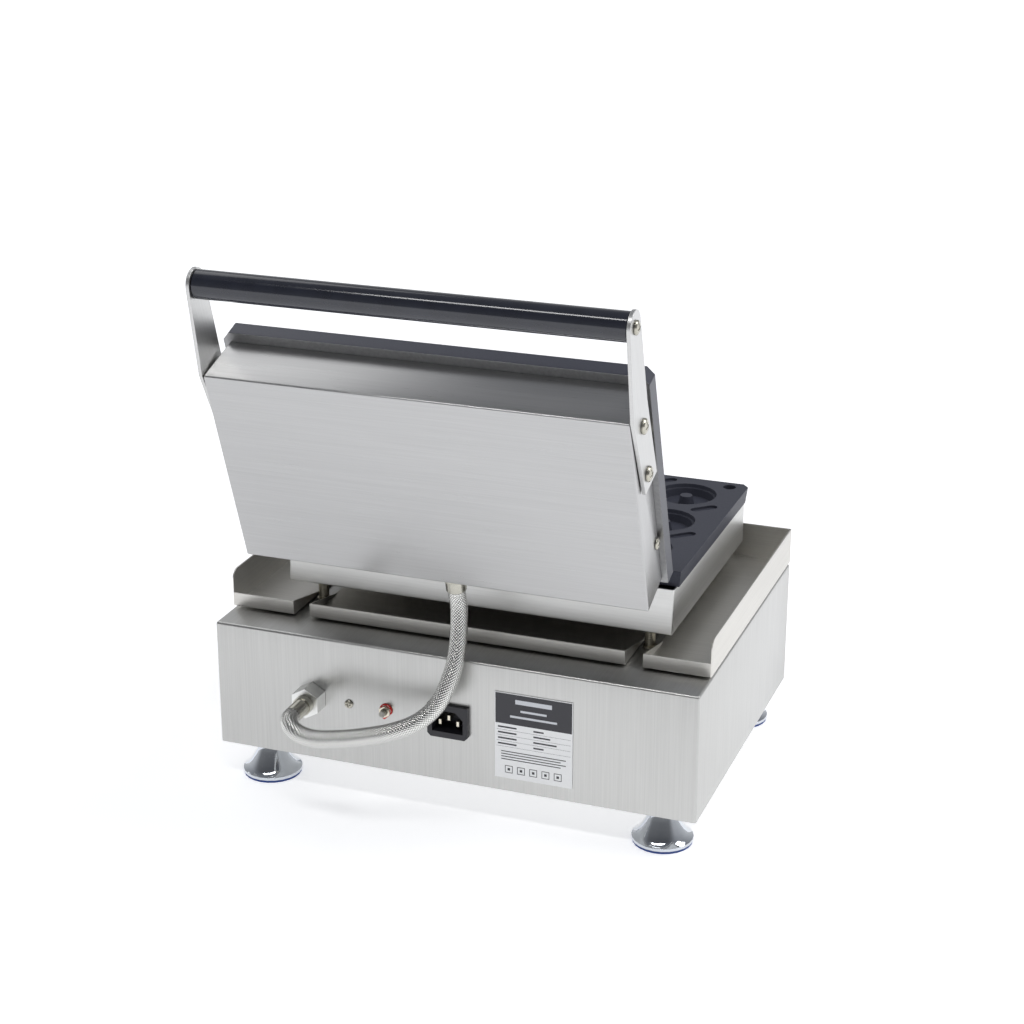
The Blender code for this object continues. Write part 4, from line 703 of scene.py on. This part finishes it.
def non_stick(name, bare_back):
    """Sprayed non-stick coat: satin, speckled, and where asked bare metal on the back face."""
    material, tree, shader = new_material(name)
    place = add_node(tree, "ShaderNodeTexCoord")
    speck = add_node(
        tree,
        "ShaderNodeTexNoise",
        {"Vector": place.outputs["Object"], "Scale": 900.0, "Detail": 2.0},
    )
    peel = add_node(
        tree,
        "ShaderNodeTexNoise",
        {"Vector": place.outputs["Object"], "Scale": 420.0, "Detail": 2.0},
    )
    coat = add_node(
        tree,
        "ShaderNodeMix",
        {"Factor": speck.outputs["Fac"], "A": linear("#393B45"), "B": linear("#484A55")},
        data_type="RGBA",
    )
    edge = add_node(tree, "ShaderNodeBevel", {"Radius": 0.7 * MM}, samples=4)
    bump = add_node(
        tree,
        "ShaderNodeBump",
        {
            "Height": peel.outputs["Fac"],
            "Distance": 0.08 * MM,
            "Strength": 0.35,
            "Normal": edge.outputs["Normal"],
        },
    )
    set_inputs(tree, shader, {"Normal": bump.outputs["Normal"]})
    if not bare_back:
        set_inputs(
            tree,
            shader,
            {
                "Base Color": coat.outputs["Result"],
                "Roughness": 0.45,
                "Metallic": 0.0,
                "Specular IOR Level": 0.2,
            },
        )
        return material
    back_normal = (0.0, math.sin(-LID_TILT), math.cos(LID_TILT))
    facing = add_node(
        tree,
        "ShaderNodeVectorMath",
        {0: place.outputs["Normal"], 1: back_normal},
        operation="DOT_PRODUCT",
    )
    is_back = add_node(
        tree, "ShaderNodeMath", {0: facing.outputs["Value"], 1: 0.9}, operation="GREATER_THAN"
    )
    milled = add_node(
        tree,
        "ShaderNodeMix",
        {"Factor": peel.outputs["Fac"], "A": linear("#8C8C8D"), "B": linear("#A8A8A9")},
        data_type="RGBA",
    )
    surface = add_node(
        tree,
        "ShaderNodeMix",
        {"Factor": is_back.outputs[0], "A": coat.outputs["Result"], "B": milled.outputs["Result"]},
        data_type="RGBA",
    )
    set_inputs(tree, shader, {"Base Color": surface.outputs["Result"]})
    set_inputs(tree, shader, {"Roughness": 0.38, "Metallic": is_back.outputs[0]})
    return material


dress(["lower_plate"], non_stick("sprayed non-stick coating", False))
dress(["upper_plate"], non_stick("non-stick coating, bare cast back", True))


# ---------------------------------------------------------------------------------------------
# Hinge pins: ground steel pins with turned heads, through the lugs cast on both plates.
# ---------------------------------------------------------------------------------------------

GROUND_STEEL = chrome("ground steel", ("#A9A8A2", "#C6C5BF"), 0.18)
dress(["hinge_pin_left", "hinge_pin_right"], GROUND_STEEL)


# ---------------------------------------------------------------------------------------------
# Lid box: folded stainless with its panel brushed across the machine, open where it stands on
# the upper plate. The corners of its front wall are mitred.
# ---------------------------------------------------------------------------------------------

LID_STEEL = brushed_steel(
    "brushed stainless sheet, lid",
    (LONG, FINE, FINE),
    (LONG, LONG, FINE),
    ("#B0B0B0", "#C1C1C1"),
    0.3,
    LID_TILT,
)
dress(["upper_box"], LID_STEEL)


# ---------------------------------------------------------------------------------------------
# Arms, handle and screws: flat brushed arms screwed to the lid's sides, a gloss black phenolic
# bar between them, and pan-head screws of stainless steel with a pale brass tint.
# ---------------------------------------------------------------------------------------------

ARM_STEEL = brushed_steel(
    "brushed stainless strip",
    (LONG, FINE, FINE),
    (LONG, LONG, FINE),
    ("#C2C2C1", "#D4D4D3"),
    0.36,
    LID_TILT,
)
dress(["arm_left", "arm_right"], ARM_STEEL)


def gloss_black(name):
    """Compression-moulded phenolic: deep black with a hard clear shine and faint cloudiness."""
    material, tree, shader = new_material(name)
    place = add_node(tree, "ShaderNodeTexCoord")
    cloud = add_node(
        tree,
        "ShaderNodeTexNoise",
        {"Vector": place.outputs["Object"], "Scale": 60.0, "Detail": 4.0},
    )
    tone = add_node(
        tree,
        "ShaderNodeMix",
        {"Factor": cloud.outputs["Fac"], "A": linear("#1A1C24"), "B": linear("#292C38")},
        data_type="RGBA",
    )
    set_inputs(tree, shader, {"Base Color": tone.outputs["Result"]})
    gloss = add_node(
        tree, "ShaderNodeMapRange", {"Value": cloud.outputs["Fac"], "To Min": 0.1, "To Max": 0.18}
    )
    set_inputs(
        tree,
        shader,
        {"Roughness": gloss.outputs["Result"], "Coat Weight": 0.4, "Coat Roughness": 0.08},
    )
    return material


GLOSS_BLACK = gloss_black("moulded black phenolic")
dress(["handle_grip"], GLOSS_BLACK)
SCREW_STEEL = chrome("turned stainless screw", ("#9C9A90", "#CFCBBE"), 0.2)
HANDS = ("left", "right")
dress([f"arm_screw_{end}_{hand}" for end in ("rear", "front") for hand in HANDS], SCREW_STEEL)
dress([f"box_screw_{end}_{hand}" for end in ("rear", "front") for hand in HANDS], SCREW_STEEL)
dress([f"handle_screw_{hand}" for hand in HANDS] + ["rear_screw", "terminal_screw"], SCREW_STEEL)


# ---------------------------------------------------------------------------------------------
# Rear wall fittings: a moulded mains inlet with tinned blades, the hose's plated nut and crimped
# ferrules, and an earth stud with its nut over a red tag.
# ---------------------------------------------------------------------------------------------

INLET_BLACK = moulded("moulded black nylon", ("#1B1B20", "#2A2A31"), 0.42, 0.5, 0.03)
dress(["power_inlet", "switch_frame"], INLET_BLACK)
TINNED_BRASS = chrome("tinned brass", ("#C9C2AE", "#E9E4D6"), 0.15)
dress(["inlet_blade_left", "inlet_blade_right", "inlet_blade_earth", "earth_nut"], TINNED_BRASS)
ZINC = chrome("bright zinc plating", ("#DADBD9", "#F0F0EE"), 0.28)
dress(["hose_nut"], ZINC)
CRIMPED_STEEL = chrome("crimped stainless sleeve", ("#A3A197", "#CCCAC0"), 0.2)
dress(["hose_ferrule", "lid_hose_ferrule"], CRIMPED_STEEL)
STUD_STEEL = threaded_steel("rolled steel thread, earth stud", ("#8F8E88", "#D2D0C8"), 0.8)
dress(["earth_stud"], STUD_STEEL)


def earth_tag():
    """A teardrop of film: a half circle above, its sides drawn straight down to a small round.

    The outline is turned by the tag's lean and given a thickness; a smaller white face lies on it.
    """
    low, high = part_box("earth_tag")
    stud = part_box("earth_stud")
    centre = [(stud[0][0] + stud[1][0]) / 2, (stud[0][2] + stud[1][2]) / 2]
    red = moulded("red printed film", ("#B8150F", "#D8271C"), 0.4, 0.6, 0.01)
    white = moulded("white printed film", ("#DADADA", "#EFEFEF"), 0.4, 0.6, 0.01)
    wide = 5.2 * MM  # radius of the half circle
    narrow = 1.4 * MM  # radius of the tail's end
    tail = 11.5 * MM
    lean = math.radians(14)
    turn = np.array([[math.cos(lean), math.sin(lean)], [-math.sin(lean), math.cos(lean)]])
    upper = np.radians(np.linspace(-10, 190, 24))
    lower = np.radians(np.linspace(200, 340, 12))
    crown = np.stack([np.cos(upper), np.sin(upper)], axis=1)
    tip = np.stack([np.cos(lower), np.sin(lower)], axis=1)
    pieces = (("edge", 0.0, 0.0, red), ("face", 1.0 * MM, 0.06 * MM, white))
    for name, shrink, lift, material in pieces:
        drop = [0, tail - wide - shrink]
        ring = np.vstack([crown * (wide - shrink), tip * (narrow - shrink / 2) - drop])
        ring = ring @ turn + centre
        count = len(ring)
        points = np.empty((2 * count, 3))
        points[:, [0, 2]] = np.vstack([ring, ring])
        points[:count, 1] = low[1]
        points[count:, 1] = high[1] + lift
        mesh = bpy.data.meshes.new(f"earth_tag_{name}")
        around = np.arange(count)
        after = (around + 1) % count
        sides = np.stack([after, around, around + count, after + count], axis=-1).tolist()
        ends = [around.tolist(), (around[::-1] + count).tolist()]
        mesh.from_pydata(points.tolist(), [], sides + ends)
        mesh.materials.append(material)
        piece = bpy.data.objects.new(f"earth_tag_{name}", mesh)
        bpy.context.scene.collection.objects.link(piece)
        if name == "edge":
            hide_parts("earth_tag")
        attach(piece, "base")


earth_tag()


# ---------------------------------------------------------------------------------------------
# Rating plate: a satin film label, printed with a dark heading and plain ruled fields that hold
# no lettering. The print is a thin layer of ink on the film.
# ---------------------------------------------------------------------------------------------


BOX_CORNERS = np.array(
    [[0, 0, 0], [1, 0, 0], [1, 1, 0], [0, 1, 0], [0, 0, 1], [1, 0, 1], [1, 1, 1], [0, 1, 1]]
)
BOX_FACES = np.array(
    [[0, 3, 2, 1], [4, 5, 6, 7], [0, 1, 5, 4], [1, 2, 6, 5], [2, 3, 7, 6], [3, 0, 4, 7]]
)


def bars(name, lows, highs, material, body, slot):
    """Thin closed boxes between arrays of corners: eight points and six faces each."""
    lows, highs = np.array(lows), np.array(highs)
    points = lows[:, None] * (1 - BOX_CORNERS) + highs[:, None] * BOX_CORNERS
    faces = BOX_FACES[None] + 8 * np.arange(len(lows))[:, None, None]
    piece = mesh_piece(
        name, points.reshape(-1, 3), faces.reshape(-1, 4), material, smooth=False
    )
    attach(piece, body)


def film_corners(rectangles, low, high):
    """Lowest and highest corners of rectangles given from the film's upper inlet-side corner.

    Each rectangle is x0, y0, x1, y1 in millimetres, x running towards -X and y down. low and
    high are the bottom and the top of the ink above the film, in metres.
    """
    flat = np.array(rectangles) * MM
    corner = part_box("rating_plate")[1]
    left, face, top = corner
    count = len(flat)
    near = np.stack([left - flat[:, 2], np.full(count, face + low), top - flat[:, 3]], axis=1)
    far = np.stack([left - flat[:, 0], np.full(count, face + high), top - flat[:, 1]], axis=1)
    return near, far


def label_print():
    """A dark heading, four ruled fields with bars in two columns, four lines and five signs."""
    low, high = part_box("rating_plate")
    width = (high[0] - low[0]) / MM
    height = (high[2] - low[2]) / MM
    heading = [(0.6, 0.6, width - 0.6, 0.36 * height)]
    row = 0.065 * height
    fields = []
    for i in range(4):
        above = 0.37 * height + row * i
        fields.append((2.5, above + 0.35 * row, 17, above + 0.62 * row))
        fields.append((30, above + 0.35 * row, 38 + 5 * (i % 3), above + 0.62 * row))
        fields.append((1.5, above + row - 0.15, width - 1.5, above + row))
    lines = []
    for i in range(4):
        above = 0.68 * height + 2.1 * i
        lines.append((5, above, width - 5 - 4 * (i % 2), above + 0.7))
    signs = []
    y0, y1 = 0.85 * height, 0.85 * height + 6
    for x0 in 8 + 9.5 * np.arange(5):
        x1 = x0 + 6
        signs += [(x0, y0, x1, y0 + 0.5), (x0, y1 - 0.5, x1, y1)]
        signs += [(x0, y0 + 0.5, x0 + 0.5, y1 - 0.5), (x1 - 0.5, y0 + 0.5, x1, y1 - 0.5)]
        signs += [(x0 + 2, y0 + 2, x1 - 2, y1 - 2)]
    ink = moulded("screen-printed black ink", ("#26262B", "#3B3B42"), 0.35, 0.5, 0.004)
    dark = film_corners(heading + fields + lines + signs, 0.01 * MM, 0.05 * MM)
    bars("rating_plate_ink", *dark, ink, "base", "label_film")
    white = moulded("screen-printed pale ink", ("#C9CCD2", "#DDE0E6"), 0.35, 0.5, 0.004)
    titles = [(16, 4.5, width - 16, 8), (20, 12.5, width - 20, 14.2), (12, 17.5, width - 12, 19.2)]
    pale = film_corners(titles, 0.055 * MM, 0.09 * MM)
    bars("rating_plate_heading", *pale, white, "base", "label_film")


LABEL_FILM = moulded("satin label film", ("#F0F1F2", "#F7F8F9"), 0.35, 1.5, 0.005)
dress(["rating_plate"], LABEL_FILM)
label_print()


# ---------------------------------------------------------------------------------------------
# Front controls: phenolic knobs with a filled white pointer over printed dial marks, a gloss
# rocker and two pilot lamps with translucent lenses.
# ---------------------------------------------------------------------------------------------


def lens(name, colour):
    """Injection-moulded polycarbonate: tinted and clear, with some light passing through it."""
    material, tree, shader = new_material(name)
    place = add_node(tree, "ShaderNodeTexCoord")
    ribs = add_node(
        tree,
        "ShaderNodeTexWave",
        {"Vector": place.outputs["Object"], "Scale": 500.0},
        bands_direction="X",
    )
    dark, light = colour
    tone = add_node(
        tree,
        "ShaderNodeMix",
        {"Factor": ribs.outputs["Fac"], "A": linear(dark), "B": linear(light)},
        data_type="RGBA",
    )
    set_inputs(tree, shader, {"Base Color": tone.outputs["Result"]})
    set_inputs(tree, shader, {"Roughness": 0.12, "Transmission Weight": 0.25, "IOR": 1.58})
    return material


def dial_marks(name, knob, sweep, count, material):
    """Printed ticks round a knob: thin boxes turned about the knob's axis by equal angles.

    Every fifth tick is longer. sweep is the angle in degrees from the first tick to the last.
    """
    low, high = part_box(knob)
    centre = np.array([(low[0] + high[0]) / 2, (low[2] + high[2]) / 2])
    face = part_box("base_housing")[0][1]
    inner = (high[0] - low[0]) / 2 + 1.8 * MM
    order = np.arange(count)
    angles = np.radians(90 + sweep / 2 - sweep * order / (count - 1))
    outer = inner + np.where(order % 5 == 0, 4.2 * MM, 2.4 * MM)[:, None]
    out = np.stack([np.cos(angles), np.sin(angles)], axis=1)
    side = 0.35 * MM * np.stack([-out[:, 1], out[:, 0]], axis=1)
    corners = [inner * out - side, outer * out - side, outer * out + side, inner * out + side]
    corners = np.stack(corners, axis=1) + centre
    points = np.empty((count, 8, 3))
    points[:, :4, [0, 2]] = corners
    points[:, 4:, [0, 2]] = corners
    points[:, :4, 1] = face - 0.01 * MM
    points[:, 4:, 1] = face - 0.06 * MM
    faces = BOX_FACES[None, :, ::-1] + 8 * order[:, None, None]
    piece = mesh_piece(
        name, points.reshape(-1, 3), faces.reshape(-1, 4), material, smooth=False
    )
    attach(piece, "base")


DIAL_INK = moulded("screen-printed dial ink", ("#1E1E22", "#2C2C31"), 0.4, 0.5, 0.004)
dress(["thermostat_knob", "timer_knob", "power_switch"], GLOSS_BLACK)
dress(["power_lamp"], lens("green polycarbonate", ("#0E7A2E", "#1C9C44")))
dress(["heat_lamp"], lens("amber polycarbonate", ("#D0720E", "#F09A22")))
dial_marks("thermostat_marks", "thermostat_knob", 270, 26, DIAL_INK)
dial_marks("timer_marks", "timer_knob", 300, 31, DIAL_INK)
POINTER_WHITE = moulded("filled white paint", ("#D8D8D4", "#ECECE8"), 0.4, 0.5, 0.004)
for knob, body in (("thermostat_knob", "thermostat_dial"), ("timer_knob", "timer_dial")):
    low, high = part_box(knob)
    middle = (low[0] + high[0]) / 2
    groove = low[1] + 1 * MM
    lows = [[middle - 0.7 * MM, groove - 0.5 * MM, (low[2] + high[2]) / 2 + 7 * MM]]
    highs = [[middle + 0.7 * MM, groove - 0.05 * MM, high[2] - 4 * MM]]
    bars(f"{knob}_pointer", lows, highs, POINTER_WHITE, body, "gloss_black")


# ---------------------------------------------------------------------------------------------
# Inside the base: a capillary thermostat and a clockwork timer in black housings, and a glazed
# ceramic terminal block for the mains.
# ---------------------------------------------------------------------------------------------

BLACK_POLYAMIDE = moulded("moulded black polyamide", ("#1A1A1E", "#29292E"), 0.5, 0.7, 0.03)
dress(["thermostat", "timer"], BLACK_POLYAMIDE)
WHITE_CERAMIC = moulded("glazed white ceramic", ("#D3CFC3", "#E6E2D8"), 0.22, 2.0, 0.02)
dress(["terminal_block"], WHITE_CERAMIC)
